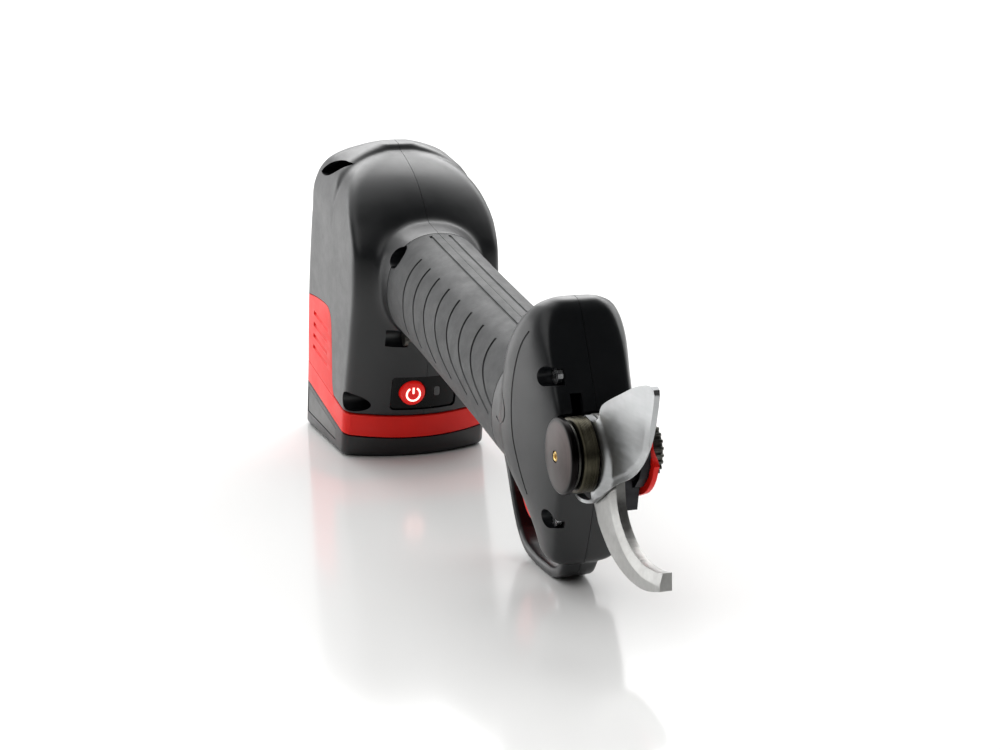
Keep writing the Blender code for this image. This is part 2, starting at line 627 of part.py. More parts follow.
def blade_outlines():
    """The blade's outline, bush bore and cam slot as (x, z) points about the pivot."""
    steps = 6
    path = [slot_centre(BLADE_TURN * i / steps) for i in range(steps + 1)]
    normals = []
    for i in range(steps + 1):
        along = (path[min(steps, i + 1)] - path[max(0, i - 1)]).normalized()
        normals.append(Vector((-along.y, along.x)))
    inner = [point + normal * SLOT_HALF_WIDTH for point, normal in zip(path, normals)]
    outer = [point - normal * SLOT_HALF_WIDTH for point, normal in zip(path, normals)]
    slot = inner + round_end(path[-1], normals[-1], SLOT_HALF_WIDTH) + outer[::-1]
    slot += round_end(path[0], -normals[0], SLOT_HALF_WIDTH)
    edge = [point * (1 + TAIL_EDGE / point.length) for point in reversed(path)]
    end = round_end(path[0], -normals[0], TAIL_EDGE)
    cutting = [(-3.0, 11.2), (2.3, 15.0), (9.0, 19.0), (17.7, 24.8), (26.0, 30.2), (32.0, 33.2), (35.8, 34.0),
               (37.2, 32.4), (37.0, 27.0), (36.0, 20.0), (33.4, 13.5), (29.5, 8.0), (24.5, 3.4), (18.6, -0.6),
               (13.5, -4.6), (9.4, -8.6)]
    heel = [(-13.4, -4.6), (-10.9, -2.6), (-10.6, 2.6), (-8.0, 7.4)]
    outline = millimetres(cutting) + [tuple(point) for point in edge + end] + millimetres(heel)
    bore = arc((0.0, 0.0), BUSH_RADIUS + GAP, 345, 0, 24)
    return outline, bore, [tuple(point) for point in slot]


def make_cutting_blade():
    outlines = [[(PIVOT_X + x, PIVOT_Z + z) for x, z in outline] for outline in blade_outlines()]
    item = flat_plate("cutting_blade", outlines, BLADE_Y, "blade", origin=(PIVOT_X, PIVOT_Z))
    soften(item, 0.25 * MM)
    ring("blade_bush", BORE_RADIUS, BUSH_RADIUS, "y", BLADE_Y, (PIVOT_X, PIVOT_Z), "brass", steps=24)
    ring("pivot_hub", BORE_RADIUS, HUB[2], "y", HUB[:2], (PIVOT_X, PIVOT_Z), "hub", steps=28)


def soften(item, width):
    bevel = item.modifiers.new("edges", "BEVEL")
    bevel.width = width
    bevel.segments = 1
    bevel.limit_method = "ANGLE"
    bevel.angle_limit = math.radians(60)


def make_pivot_fasteners():
    centre = (PIVOT_X, PIVOT_Z)
    dome = [(CAP_RADIUS * math.sin(math.radians(a)), CAP_BASE - (CAP_BASE - CAP_TOP) * (0.4 + 0.6 * math.cos(
        math.radians(a)))) for a in range(70, 0, -22)]
    recess = [(1.7 * MM, CAP_TOP + 0.1 * MM), (1.7 * MM, CAP_TOP + 1.0 * MM), (0.0, CAP_TOP + 1.0 * MM)]
    profile = [(0.0, SHANK_END), (SHANK_RADIUS, SHANK_END), (SHANK_RADIUS, CAP_BASE), (CAP_RADIUS, CAP_BASE),
               (CAP_RADIUS, CAP_BASE - 1.2 * MM)] + dome + recess
    turned("pivot_bolt", profile, "y", centre, "bolt", steps=24)
    plug = (CAP_TOP + 0.1 * MM, CAP_TOP + 0.7 * MM)
    cylinder("pivot_bolt_plug", 1.7 * MM - GAP, "y", plug, centre, "brass", sides=16)
    ring("pivot_washer", BORE_RADIUS, WASHER[2], "y", WASHER[:2], centre, "steel", steps=24)
    lock = arc(centre, 12.6 * MM, -38, 205, 22) + about_pivot([(-8.6, -12.6), (-4.6, -14.8)])
    bore = arc(centre, BORE_RADIUS, 345, 0, 24)
    flat_plate("lock_plate", [lock, bore], LOCK_Y, "red")
    teeth = 24
    rim = []
    for i in range(teeth * 2):
        radius = (8.0 if i % 2 == 0 else 7.2) * MM
        angle = math.pi * i / teeth
        rim.append((centre[0] + radius * math.cos(angle), centre[1] + radius * math.sin(angle)))
    flat_plate("pivot_nut", [rim, bore], NUT_Y, "nut")
    spot = (PIVOT_X + 10.4 * MM * math.cos(math.radians(140)), PIVOT_Z + 10.4 * MM * math.sin(math.radians(140)))
    cylinder("lock_screw", 1.9 * MM, "y", (LOCK_Y[1] + GAP, LOCK_Y[1] + 1.7 * MM), spot, "steel", sides=16)


# ---------------------------------------------------------------- drive train

def make_drive():
    axis = (0.0, DRIVE_Z)
    motor = [(0.0, 70 * MM), (4.0 * MM, 70 * MM), (4.0 * MM, 68 * MM), (12.2 * MM, 68 * MM), (12.2 * MM, 28 * MM),
             (6.0 * MM, 26 * MM), (0.0, 26 * MM)]
    turned("motor", motor, "x", axis, "steel", steps=24)
    ring("gearbox", 4.6 * MM, 12.4 * MM, "x", (68.4 * MM, 96 * MM), axis, "aluminium", steps=24)
    screw = [(0.0, 147 * MM), (3.0 * MM, 147 * MM), (SCREW_RADIUS, 146 * MM), (SCREW_RADIUS, 103 * MM),
             (5.6 * MM, 103 * MM), (5.6 * MM, 98 * MM), (4.0 * MM, 98 * MM), (4.0 * MM, 70.4 * MM), (0.0, 70.4 * MM)]
    turned("screw_shaft", screw, "x", axis, "steel", steps=20)
    ring("screw_bearing", SCREW_RADIUS + GAP, 9.0 * MM, "x", (104.5 * MM, 111.5 * MM), axis, "steel", steps=24)
    bore, end = SCREW_RADIUS + GAP, 150.9 * MM
    body = [(0.0, end), (NUT_RADIUS - 0.6 * MM, end), (NUT_RADIUS, end - 0.8 * MM), (NUT_RADIUS, 126 * MM), (bore, 126 * MM),
            (bore, end - 2.4 * MM), (0.0, end - 2.4 * MM)]
    nut = place("drive_nut", baked_mesh(turned("nut_body", body, "x", axis, steps=24)), "aluminium")
    tongue = [(149.8 * MM, DRIVE_Z + 2.8 * MM), (149.8 * MM, DRIVE_Z - 2.8 * MM)]
    tongue += arc((PIN_X, DRIVE_Z), 2.8 * MM, -90, 90, 9)
    tongue_y = (HOOK_Y[0] + GAP, HOOK_Y[1] - GAP)
    join(nut, flat_plate("nut_tongue", [tongue], tongue_y))
    cut(nut, cylinder("tongue_hole", PIN_RADIUS + 0.02 * MM + GAP, "y", (-10 * MM, 10 * MM), (PIN_X, DRIVE_Z), sides=20))
    pin_y = (BLADE_Y[0] + 0.2 * MM, HOOK_Y[1] - GAP)
    cylinder("drive_pin", PIN_RADIUS, "y", pin_y, (PIN_X, DRIVE_Z), "steel", sides=20)


# ---------------------------------------------------------------- trigger and electronics

def make_trigger():
    outline = [(125.4, 60.5), (126.2, 56.0), (130.4, 52.0), (131.6, 47.5), (130.6, 43.0), (131.0, 39.6),
               (133.0, 37.2), (131.0, 36.2), (126.5, 37.2), (121.4, 41.0), (117.2, 46.5), (115.8, 51.0),
               (116.6, 56.5), (117.2, 60.5), (121.0, 62.2)]
    centre = (TRIGGER_X, TRIGGER_Z)
    bore = arc(centre, 1.5 * MM + GAP, 330, 0, 12)
    half = TRIGGER_HALF_WIDTH
    item = flat_plate("trigger", [millimetres(outline), bore], (-half, half), "red", origin=centre)
    soften(item, 0.8 * MM)
    magnet_at = (119.0 * MM, 52.0 * MM)
    cut(item, cylinder("magnet_bore", 1.5 * MM + GAP, "y", (-half + 0.8 * MM, half + 1 * MM), magnet_at, sides=16))
    cylinder("trigger_magnet", 1.5 * MM, "y", (-half + 1.2 * MM, half - 0.4 * MM), magnet_at, "steel", sides=16)
    cylinder("trigger_pin", 1.5 * MM, "y", (-9.0 * MM, 9.0 * MM), centre, "steel", sides=16)
    coil("trigger_spring", 2.6 * MM, 0.35 * MM, "y", (4.9 * MM, 7.6 * MM), centre, 2, "steel")
    box("sensor_board", (112.6 * MM, 117.2 * MM), (-6.6 * MM, -5.4 * MM), (58.4 * MM, 66.4 * MM), "board")


def make_electronics():
    inset = 0.5 * MM
    panel = block_solid("control_panel_source", BLOCK_STATIONS[:4], inset=inset, floor=19 * MM)
    region = box("panel_region", (6.8 * MM, 20 * MM), (-12.2 * MM, 12.2 * MM), (21.5 * MM, 34.6 * MM))
    boolean(panel, region, "INTERSECT")
    panel = place("control_panel", baked_mesh(panel), "panel")
    button_at, lens_y = (-4.6 * MM, 28.3 * MM), (3.0 * MM, 6.2 * MM)
    button_hole = cylinder("button_hole", 5.0 * MM, "x", (3 * MM, 20 * MM), button_at, sides=28)
    lens_hole = box("lens_hole", (3 * MM, 20 * MM), (lens_y[0] - GAP, lens_y[1] + GAP), (25.7 * MM, 30.9 * MM))
    cut(panel, button_hole, lens_hole)
    cap = [(0.0, 11.2 * MM), (4.2 * MM, 11.0 * MM), (4.7 * MM, 10.4 * MM), (4.7 * MM, 7.4 * MM), (0.0, 7.4 * MM)]
    turned("power_button", cap, "x", button_at, "red", steps=28)
    box("status_lens", (7.4 * MM, 10.2 * MM), lens_y, (26.0 * MM, 30.6 * MM), "lens")
    box("button_board", (4.6 * MM, 5.8 * MM), (-10 * MM, 10 * MM), (27.2 * MM, 34.4 * MM), "board")
    box("control_board", (-47 * MM, -12 * MM), (-17 * MM, 17 * MM), (91.0 * MM, 92.6 * MM), "board")
    box("terminal_block", (-42 * MM, -17 * MM), (-12 * MM, 12 * MM), (85.0 * MM, 90.6 * MM), "case")


# ---------------------------------------------------------------- battery pack

def make_battery():
    bottom = (BLOCK_STATIONS[0][1], BLOCK_STATIONS[0][2] - 1.0, BLOCK_STATIONS[0][3], BLOCK_STATIONS[0][4])
    back, front, half_width, bulge = (value * MM for value in bottom)
    rings = [
        block_ring(UNDERSIDE_Z, back, front, half_width, bulge, inset=BASE_CHAMFER, slope=UNDERSIDE_SLOPE),
        block_ring(UNDERSIDE_Z + BASE_CHAMFER, back, front, half_width, bulge, slope=UNDERSIDE_SLOPE),
        block_ring(BASE_TOP_Z, back, front, half_width, bulge),
    ]
    loft("battery_base", rings, "base")
    band = [block_ring(z, back, front + 0.6 * MM, half_width, bulge) for z in COLLAR_Z]
    collar = loft("battery_collar", band, "red")
    room = box("collar_room", (CASE_X[0] - GAP, CASE_X[1] + GAP), (-CASE_HALF_WIDTH - GAP, CASE_HALF_WIDTH + GAP),
               (0.0, 30 * MM))
    cut(collar, room)
    case = box("battery_case", CASE_X, (-CASE_HALF_WIDTH, CASE_HALF_WIDTH), CASE_Z, "case")
    wall = 2.0 * MM
    cut(case, box("case_room", (CASE_X[0] + wall, CASE_X[1] - wall), (-CASE_HALF_WIDTH + wall, CASE_HALF_WIDTH - wall),
                  (CASE_Z[0] + wall, CASE_Z[1] + 5 * MM)))
    middle = (CASE_X[0] + CASE_X[1]) / 2
    floor = CASE_Z[0] + wall + GAP
    for i in range(4):
        x = middle + CELL_PITCH * (0.5 if i % 2 else -0.5)
        y = CELL_PITCH * (0.5 if i < 2 else -0.5)
        cylinder(f"battery_cell_{i + 1}", CELL_RADIUS, "z", (floor, floor + CELL_LENGTH), (x, y), "cell", sides=24)
    lid = (CASE_Z[1] + GAP, CASE_Z[1] + 4.2 * MM)
    box("battery_lid", CASE_X, (-CASE_HALF_WIDTH, CASE_HALF_WIDTH), lid, "case")


def make_latches():
    rows = BLOCK_STATIONS[:4]
    for side, sign in (("right", -1), ("left", 1)):
        skin = block_solid(f"latch_{side}_skin", rows)
        cut(skin, block_solid(f"latch_{side}_hollow", rows, inset=1.9 * MM, floor=10 * MM))
        y = sorted((sign * 18 * MM, sign * 30 * MM))
        boolean(skin, flat_plate(f"latch_{side}_region", [pad_outline()], y), "INTERSECT")
        mesh = baked_mesh(skin)
        hinge = Vector((-36 * MM, sign * 26.5 * MM, SEAM_Z))
        mesh.transform(Matrix.Translation(-hinge))
        place(f"latch_{side}", mesh, "red", hinge)
        y = sorted((sign * (CASE_HALF_WIDTH + 0.5 * MM), sign * 24.0 * MM))
        coil(f"latch_spring_{side}", 2.4 * MM, 0.3 * MM, "y", y, (-36 * MM, 38 * MM), 2, "steel")


clear_scene()
PARTS = new_collection("battery_electric_pruner")
GUIDES = new_collection("cutters")
FRAME = bpy.data.objects.new("tool_frame", None)
PARTS.objects.link(FRAME)
FRAME.rotation_euler = (0.0, PITCH, 0.0)
FRAME.location = (STAND_X, 0.0, STAND_Z)

make_housings()
make_grip_pads()
make_housing_screws()
make_head_frame()
make_counter_blade()
make_cutting_blade()
make_pivot_fasteners()
make_drive()
make_trigger()
make_electronics()
make_battery()
make_latches()
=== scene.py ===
"""Looks of a battery electric pruner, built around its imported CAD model.

Shapes are made in the tool's own axes, in metres: x points to the blades, y to the tool's left and z up along
the battery block. TOOL carries them into the row frame, where the tool stands nose down on its base and guard.
"""

import json
import math

import bmesh
import bpy
import numpy as np
from mathutils import Matrix, Vector
from mathutils.bvhtree import BVHTree


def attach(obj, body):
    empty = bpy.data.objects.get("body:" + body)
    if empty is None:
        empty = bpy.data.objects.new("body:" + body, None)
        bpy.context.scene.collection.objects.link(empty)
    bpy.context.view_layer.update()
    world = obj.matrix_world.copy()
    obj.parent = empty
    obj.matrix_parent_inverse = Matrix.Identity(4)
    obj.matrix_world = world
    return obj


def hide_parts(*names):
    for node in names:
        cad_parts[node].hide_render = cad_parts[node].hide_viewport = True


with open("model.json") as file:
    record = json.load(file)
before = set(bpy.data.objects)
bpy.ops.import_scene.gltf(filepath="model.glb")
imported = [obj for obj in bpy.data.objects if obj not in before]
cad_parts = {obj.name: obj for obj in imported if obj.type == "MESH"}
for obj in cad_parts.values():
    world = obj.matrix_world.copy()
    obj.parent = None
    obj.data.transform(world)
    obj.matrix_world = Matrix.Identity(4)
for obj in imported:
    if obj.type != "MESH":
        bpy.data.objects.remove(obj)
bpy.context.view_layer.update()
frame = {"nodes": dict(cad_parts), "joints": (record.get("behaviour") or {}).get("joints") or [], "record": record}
NODES = frame["nodes"]
JOINTS = {joint["name"]: joint for joint in frame["joints"]}

MM = 0.001
GAP = 0.3 * MM
SEAM = 0.14 * MM

# ---------------------------------------------------------------- the tool's axes, from the frame's joints

PIVOT_X, PIVOT_Z = 174.2 * MM, 77.4 * MM
_shaft = Vector(JOINTS["screw_turn"]["axis"])
_turn = Matrix.Rotation(math.atan2(-_shaft.z, _shaft.x), 4, "Y")
_pivot = Vector(JOINTS["blade_swing"]["pos_m"])
TOOL = Matrix.Translation(_pivot - _turn @ Vector((PIVOT_X, 0.0, PIVOT_Z))) @ _turn

# ---------------------------------------------------------------- driving dimensions

VOXEL = 0.55 * MM
MELT_STEPS = 8

SEAM_Z = 18.7
BLOCK_STATIONS = [
    (18.7, -59.0, 1.2, 27.7, 8.0), (30.0, -59.8, 3.0, 27.7, 8.0), (49.0, -60.4, 6.4, 27.7, 7.0),
    (65.0, -60.0, 8.2, 27.6, 6.0), (79.0, -58.8, 6.2, 27.5, 6.0), (88.0, -57.2, 1.0, 27.2, 6.5),
    (94.0, -55.2, -5.5, 26.0, 7.5), (99.0, -52.6, -12.5, 23.6, 8.0), (103.0, -49.2, -19.0, 19.2, 7.0),
    (106.0, -44.4, -25.5, 12.5, 4.0), (107.6, -39.5, -31.0, 6.0, 1.5),
]
RIM_STATIONS = [
    (71.0, -58.9, -22.5, 27.1, 0.0), (87.0, -57.9, -22.5, 27.6, 0.0), (95.0, -55.8, -23.0, 26.4, 0.0),
    (100.5, -53.0, -26.0, 23.8, 0.0), (104.5, -49.4, -29.0, 19.0, 0.0), (107.5, -45.0, -31.5, 12.8, 0.0),
    (109.6, -40.6, -34.0, 6.0, 0.0),
]
BLOCK_WALL = 2.4 * MM
BACK_CORNER, FRONT_CORNER = 7.0 * MM, 2.6 * MM

GRIP_Z = 71.3 * MM
GRIP_POWER = 2.25
FLARE_STATIONS = [(-4.0, 21.4, 20.3), (5.0, 20.8, 20.1), (10.0, 19.6, 20.0), (14.0, 18.5, 19.9), (17.0, 17.9, 19.8)]
GRIP_STATIONS = [(17.3, 17.8, 19.7), (45.0, 17.2, 19.4), (80.0, 17.1, 19.3), (110.0, 17.2, 19.4), (126.5, 17.4, 19.6)]
PAD_THICKNESS, GRIP_WALL = 1.3 * MM, 2.2 * MM
PAD_X = (17.3 * MM, 126.5 * MM)

HEAD_POWER = 2.9
FACE_SHARE, FACE_CROWN = 0.9, 0.7 * MM
HEAD_WALL = 1.8 * MM
HEAD_STATIONS = [
    (36.8, 154.0, 163.0, 7.5, 0.0), (38.5, 151.5, 164.2, 10.2, 0.0), (45.0, 147.0, 165.6, 11.8, 0.05),
    (52.0, 141.0, 166.6, 13.6, 0.12), (60.0, 132.0, 167.4, 15.6, 0.22), (72.0, 127.0, 168.0, 16.8, 0.26),
    (84.0, 127.2, 164.6, 16.8, 0.24), (92.0, 128.6, 159.4, 16.6, 0.22), (99.0, 131.8, 154.6, 16.0, 0.18),
    (105.0, 135.4, 150.4, 14.2, 0.14), (109.6, 138.6, 147.0, 10.8, 0.10), (111.6, 140.4, 144.6, 6.4, 0.06),
]
GUARD_LINE = [
    (104.0, 54.5), (106.0, 50.3), (111.6, 43.4), (117.5, 35.6), (123.5, 29.3), (130.5, 25.6), (139.0, 25.4),
    (147.0, 26.6), (154.0, 28.2), (159.6, 31.8), (162.0, 37.5), (161.5, 42.0),
]
GUARD_THICKNESS, GUARD_HALF_WIDTH = 3.0 * MM, 5.2 * MM
GUARD_SPARE = 0.25 * MM

MOUTH_RADIUS = 13.0 * MM
CAP_RADIUS, CAP_TOP, CAP_BASE = 10.65 * MM, -16.0 * MM, -13.0 * MM
SHANK_RADIUS, SHANK_END = 5.0 * MM, 14.0 * MM
BORE_RADIUS = SHANK_RADIUS + GAP
WASHER = (-12.7 * MM, -11.9 * MM, 9.4 * MM)
HUB = (-11.6 * MM, -7.0 * MM, 10.85 * MM)
BLADE_Y = (-6.7 * MM, -4.5 * MM)
HOOK_Y = (-4.2 * MM, -0.7 * MM)
CHEEK_Y = (5.1 * MM, 7.7 * MM)
LOCK_Y = (8.0 * MM, 9.5 * MM)
NUT_Y = (9.8 * MM, 13.0 * MM)
DRIVE_Z = PIVOT_Z - 8.0 * MM
PIN_REACH, SLOT_HALF_WIDTH, TAIL_EDGE = -14.0 * MM, 2.1 * MM, 3.2 * MM
BLADE_TURN, NUT_TRAVEL = math.radians(60.0), 7.0 * MM

# Screw pockets, from the right: (x, z, radius, where the pocket starts along y).
POCKETS = [
    (2.3, 23.4, 3.8, -31.0), (17.8, 83.2, 3.6, -31.0), (12.4, 50.6, 3.4, -16.0), (155.2, 93.2, 2.8, -31.0),
    (162.5, 52.4, 2.8, -31.0),
]
POCKET_FLOOR = -8.0 * MM
TOP_SCREW = (-36.0, 100.0, 3.6)
TOP_POCKET = ((-46.4, 96.6), (-28.6, 104.0), 2.6, -9.0)

BASE_TOP_Z = 9.5 * MM
COLLAR_Z = (9.8 * MM, 18.4 * MM)
UNDERSIDE_Z = -TOOL.translation.z / _turn[2][2]
UNDERSIDE_SLOPE = -_turn[2][0] / _turn[2][2]
BASE_CHAMFER = 2.2 * MM
TRIGGER_X, TRIGGER_Z = 121.0 * MM, 58.0 * MM


# ---------------------------------------------------------------- materials

def node_tree(material):
    material.use_nodes = True
    tree = material.node_tree
    return tree, tree.nodes["Principled BSDF"]


def ramp(tree, value, low, high, out_low, out_high):
    """value mapped from low..high to out_low..out_high, held at both ends."""
    node = tree.nodes.new("ShaderNodeMapRange")
    node.inputs["From Min"].default_value = low
    node.inputs["From Max"].default_value = high
    node.inputs["To Min"].default_value = out_low
    node.inputs["To Max"].default_value = out_high
    tree.links.new(value, node.inputs["Value"])
    return node.outputs["Result"]


def noise(tree, scale, stretch=(1.0, 1.0, 1.0), detail=3.0, roughness=0.55, source=None):
    """Noise in the object's own place; stretch multiplies the scale along each axis."""
    mapping = tree.nodes.new("ShaderNodeMapping")
    mapping.inputs["Scale"].default_value = stretch
    if source is None:
        source = tree.nodes.new("ShaderNodeTexCoord").outputs["Object"]
    tree.links.new(source, mapping.inputs["Vector"])
    texture = tree.nodes.new("ShaderNodeTexNoise")
    texture.inputs["Scale"].default_value = scale
    texture.inputs["Detail"].default_value = detail
    texture.inputs["Roughness"].default_value = roughness
    tree.links.new(mapping.outputs["Vector"], texture.inputs["Vector"])
    return texture.outputs["Fac"]


def around_pivot(tree):
    """Distance from the blade pivot's axis as a vector's length, for marks that run round it."""
    coords = tree.nodes.new("ShaderNodeTexCoord")
    shift = tree.nodes.new("ShaderNodeVectorMath")
    shift.operation = "SUBTRACT"
    shift.inputs[1].default_value = tuple(_pivot)
    tree.links.new(coords.outputs["Object"], shift.inputs[0])
    flat = tree.nodes.new("ShaderNodeVectorMath")
    flat.operation = "MULTIPLY"
    flat.inputs[1].default_value = (1.0, 0.0, 1.0)
    tree.links.new(shift.outputs["Vector"], flat.inputs[0])
    length = tree.nodes.new("ShaderNodeVectorMath")
    length.operation = "LENGTH"
    tree.links.new(flat.outputs["Vector"], length.inputs[0])
    combine = tree.nodes.new("ShaderNodeCombineXYZ")
    tree.links.new(length.outputs["Value"], combine.inputs["X"])
    return combine.outputs["Vector"]


def mixed_colour(tree, factor, first, second):
    mix = tree.nodes.new("ShaderNodeMix")
    mix.data_type = "RGBA"
    mix.inputs["A"].default_value = (*first, 1.0)
    mix.inputs["B"].default_value = (*second, 1.0)
    tree.links.new(factor, mix.inputs["Factor"])
    return mix.outputs["Result"]


def bump(tree, shader, height, strength, distance):
    node = tree.nodes.new("ShaderNodeBump")
    node.inputs["Strength"].default_value = strength
    node.inputs["Distance"].default_value = distance
    tree.links.new(height, node.inputs["Height"])
    tree.links.new(node.outputs["Normal"], shader.inputs["Normal"])


def moulded(name, colour, roughness, grain=0.12, grain_size=0.35, coat=0.0, specular=0.5, vary=0.12):
    """Moulded plastic: a fine spark-eroded grain, faint handling marks in the gloss, and a slight shade change."""
    material = bpy.data.materials.new(name)
    tree, shader = node_tree(material)
    shade = noise(tree, 40.0, detail=4.0)
    darker = tuple(channel * (1 - vary) for channel in colour)
    lighter = tuple(channel * (1 + vary) for channel in colour)
    tree.links.new(mixed_colour(tree, ramp(tree, shade, 0.35, 0.65, 0.0, 1.0), darker, lighter),
                   shader.inputs["Base Color"])
    marks = noise(tree, 120.0, detail=6.0, roughness=0.7)
    tree.links.new(ramp(tree, marks, 0.3, 0.7, roughness - 0.05, roughness + 0.06), shader.inputs["Roughness"])
    fine = noise(tree, 1.0 / (grain_size * MM), detail=2.0)
    bump(tree, shader, fine, grain, 0.05 * MM)
    shader.inputs["Specular IOR Level"].default_value = specular
    shader.inputs["Coat Weight"].default_value = coat
    shader.inputs["Coat Roughness"].default_value = 0.12
    return material


def soft_touch(name, colour):
    """Soft-touch overmould: matt, with a dense pebble grain and a faint sheen."""
    material = bpy.data.materials.new(name)
    tree, shader = node_tree(material)
    shade = noise(tree, 60.0, detail=5.0, roughness=0.6)
    tree.links.new(mixed_colour(tree, ramp(tree, shade, 0.3, 0.7, 0.0, 1.0),
                                tuple(c * 0.85 for c in colour), tuple(c * 1.18 for c in colour)),
                   shader.inputs["Base Color"])
    wear = noise(tree, 220.0, detail=5.0, roughness=0.7)
    tree.links.new(ramp(tree, wear, 0.3, 0.7, 0.5, 0.66), shader.inputs["Roughness"])
    pebble = noise(tree, 3200.0, detail=2.0, roughness=0.5)
    bump(tree, shader, pebble, 0.22, 0.08 * MM)
    shader.inputs["Specular IOR Level"].default_value = 0.5
    shader.inputs["Sheen Weight"].default_value = 0.12
    shader.inputs["Sheen Roughness"].default_value = 0.4
    return material


def steel(name, dark, light, roughness, stretch, scale=60.0, strength=0.12, spread=0.1, turned=False, metal=1.0):
    """Metal with tool marks: noise drawn out by stretch, or rings about the pivot when turned."""
    material = bpy.data.materials.new(name)
    tree, shader = node_tree(material)
    source = around_pivot(tree) if turned else None
    marks = noise(tree, scale, stretch, detail=5.0, roughness=0.65, source=source)
    stains = noise(tree, 90.0, detail=5.0, roughness=0.6)
    both = tree.nodes.new("ShaderNodeMath")
    both.operation = "MULTIPLY_ADD"
    both.inputs[1].default_value = 0.55
    tree.links.new(stains, both.inputs[0])
    half = ramp(tree, marks, 0.0, 1.0, 0.0, 0.45)
    tree.links.new(half, both.inputs[2])
    tree.links.new(mixed_colour(tree, ramp(tree, both.outputs["Value"], 0.36, 0.64, 0.0, 1.0), dark, light),
                   shader.inputs["Base Color"])
    tree.links.new(ramp(tree, marks, 0.25, 0.75, roughness - spread, roughness + spread), shader.inputs["Roughness"])
    bump(tree, shader, marks, strength, 0.05 * MM)
    shader.inputs["Metallic"].default_value = metal
    return material


def glowing(name, colour, strength):
    material = bpy.data.materials.new(name)
    tree, shader = node_tree(material)
    shade = noise(tree, 900.0, detail=2.0)
    tree.links.new(mixed_colour(tree, shade, tuple(c * 0.9 for c in colour), colour), shader.inputs["Base Color"])
    shader.inputs["Emission Color"].default_value = (*colour, 1.0)
    shader.inputs["Emission Strength"].default_value = strength
    shader.inputs["Roughness"].default_value = 0.4
    return material


def cap_finish():
    """Browned, finely turned steel whose rim and edge are painted near-black as painted shade."""
    material = steel("cap_browned", (0.032, 0.024, 0.023), (0.062, 0.049, 0.047), 0.3, (9.0, 1.0, 1.0), scale=160.0,
                     strength=0.05, spread=0.04, turned=True)
    tree, shader = node_tree(material)
    radius = tree.nodes.new("ShaderNodeSeparateXYZ")
    tree.links.new(around_pivot(tree), radius.inputs["Vector"])
    # painted shade: from 9.2 mm outwards the rim, the rounded edge and the side are mixed to near-black
    rim = ramp(tree, radius.outputs["X"], 9.2 * MM, 9.9 * MM, 0.0, 1.0)
    plain = shader.inputs["Base Color"].links[0].from_socket
    mix = tree.nodes.new("ShaderNodeMix")
    mix.data_type = "RGBA"
    mix.inputs["B"].default_value = (0.008, 0.007, 0.007, 1.0)
    tree.links.new(rim, mix.inputs["Factor"])
    tree.links.new(plain, mix.inputs["A"])
    tree.links.new(mix.outputs["Result"], shader.inputs["Base Color"])
    return material


HOUSING = moulded("housing_plastic", (0.0055, 0.0066, 0.008), 0.34, specular=0.6)
GRIP = soft_touch("grip_soft_touch", (0.024, 0.0255, 0.027))
RED = moulded("red_plastic", (0.95, 0.012, 0.006), 0.42, grain=0.06, specular=0.3, vary=0.04)
PANEL = moulded("panel_gloss", (0.0012, 0.0014, 0.0016), 0.24, grain=0.02, specular=0.2)
LENS = moulded("lens_grey", (0.03, 0.03, 0.032), 0.16, grain=0.02, coat=0.5)
BASE = moulded("base_plastic", (0.008, 0.0085, 0.0095), 0.4, grain=0.16)
LABEL = moulded("label_film", (0.03, 0.033, 0.032), 0.34, grain=0.03)
CASE = moulded("pack_plastic", (0.012, 0.012, 0.014), 0.5)
BOARD = moulded("board_mask", (0.012, 0.09, 0.035), 0.4, coat=0.3)
CELL = moulded("cell_sleeve", (0.02, 0.07, 0.26), 0.3, grain=0.03, coat=0.2)
BLADE = steel("blade_ground", (0.4, 0.41, 0.415), (0.5, 0.51, 0.515), 0.34, (2.0, 1.0, 14.0), strength=0.07, spread=0.05)
HOOK = steel("hook_forged", (0.3, 0.297, 0.288), (0.44, 0.44, 0.43), 0.4, (1.0, 1.0, 1.0), scale=420.0, strength=0.16,
             spread=0.06)
HUB_METAL = steel("hub_oiled", (0.016, 0.014, 0.008), (0.13, 0.12, 0.085), 0.36, (0.15, 26.0, 0.15), strength=0.4)
CAP_METAL = cap_finish()
BRASS = steel("brass_turned", (0.42, 0.27, 0.07), (0.72, 0.5, 0.18), 0.26, (9.0, 1.0, 1.0), scale=300.0, turned=True)
# dark phosphated steel: the nut's own finish, and painted shade on the washer and on the screws in deep pockets
NUT_STEEL_AND_PAINTED_SHADE = steel("nut_phosphated_and_painted_shade", (0.04, 0.04, 0.036), (0.15, 0.15, 0.135), 0.42, (1.0, 12.0, 1.0), strength=0.25)
ZINC = steel("zinc_bright", (0.42, 0.43, 0.44), (0.72, 0.73, 0.74), 0.26, (1.0, 1.0, 1.0), scale=500.0)
ALLOY = steel("alloy_anodised", (0.02, 0.02, 0.022), (0.045, 0.045, 0.048), 0.4, (1.0, 1.0, 8.0))
SYMBOL = glowing("symbol_light", (1.0, 0.6, 0.52), 2.2)
BUTTON_RED = glowing("button_lit", (0.62, 0.006, 0.004), 0.5)


# ---------------------------------------------------------------- meshes

def face_outward(bm):
    bmesh.ops.recalc_face_normals(bm, faces=bm.faces)
    if bm.calc_volume(signed=True) < 0:
        bmesh.ops.reverse_faces(bm, faces=bm.faces)


def mesh_from(build):
    """A mesh filled by build(bm)."""
    bm = bmesh.new()
    build(bm)
    mesh = bpy.data.meshes.new("shape")
    bm.to_mesh(mesh)
    bm.free()
    return mesh


def closed_skin(rings):
    """A closed skin over rings of points with equal counts, capped at both ends."""
    def build(bm):
        loops = [[bm.verts.new(point) for point in ring] for ring in rings]
        count = len(loops[0])
        for low, high in zip(loops, loops[1:]):
            for i in range(count):
                j = (i + 1) % count
                bm.faces.new((low[i], low[j], high[j], high[i]))
        bm.faces.new(reversed(loops[0]))
        bm.faces.new(loops[-1])
        face_outward(bm)
    return mesh_from(build)


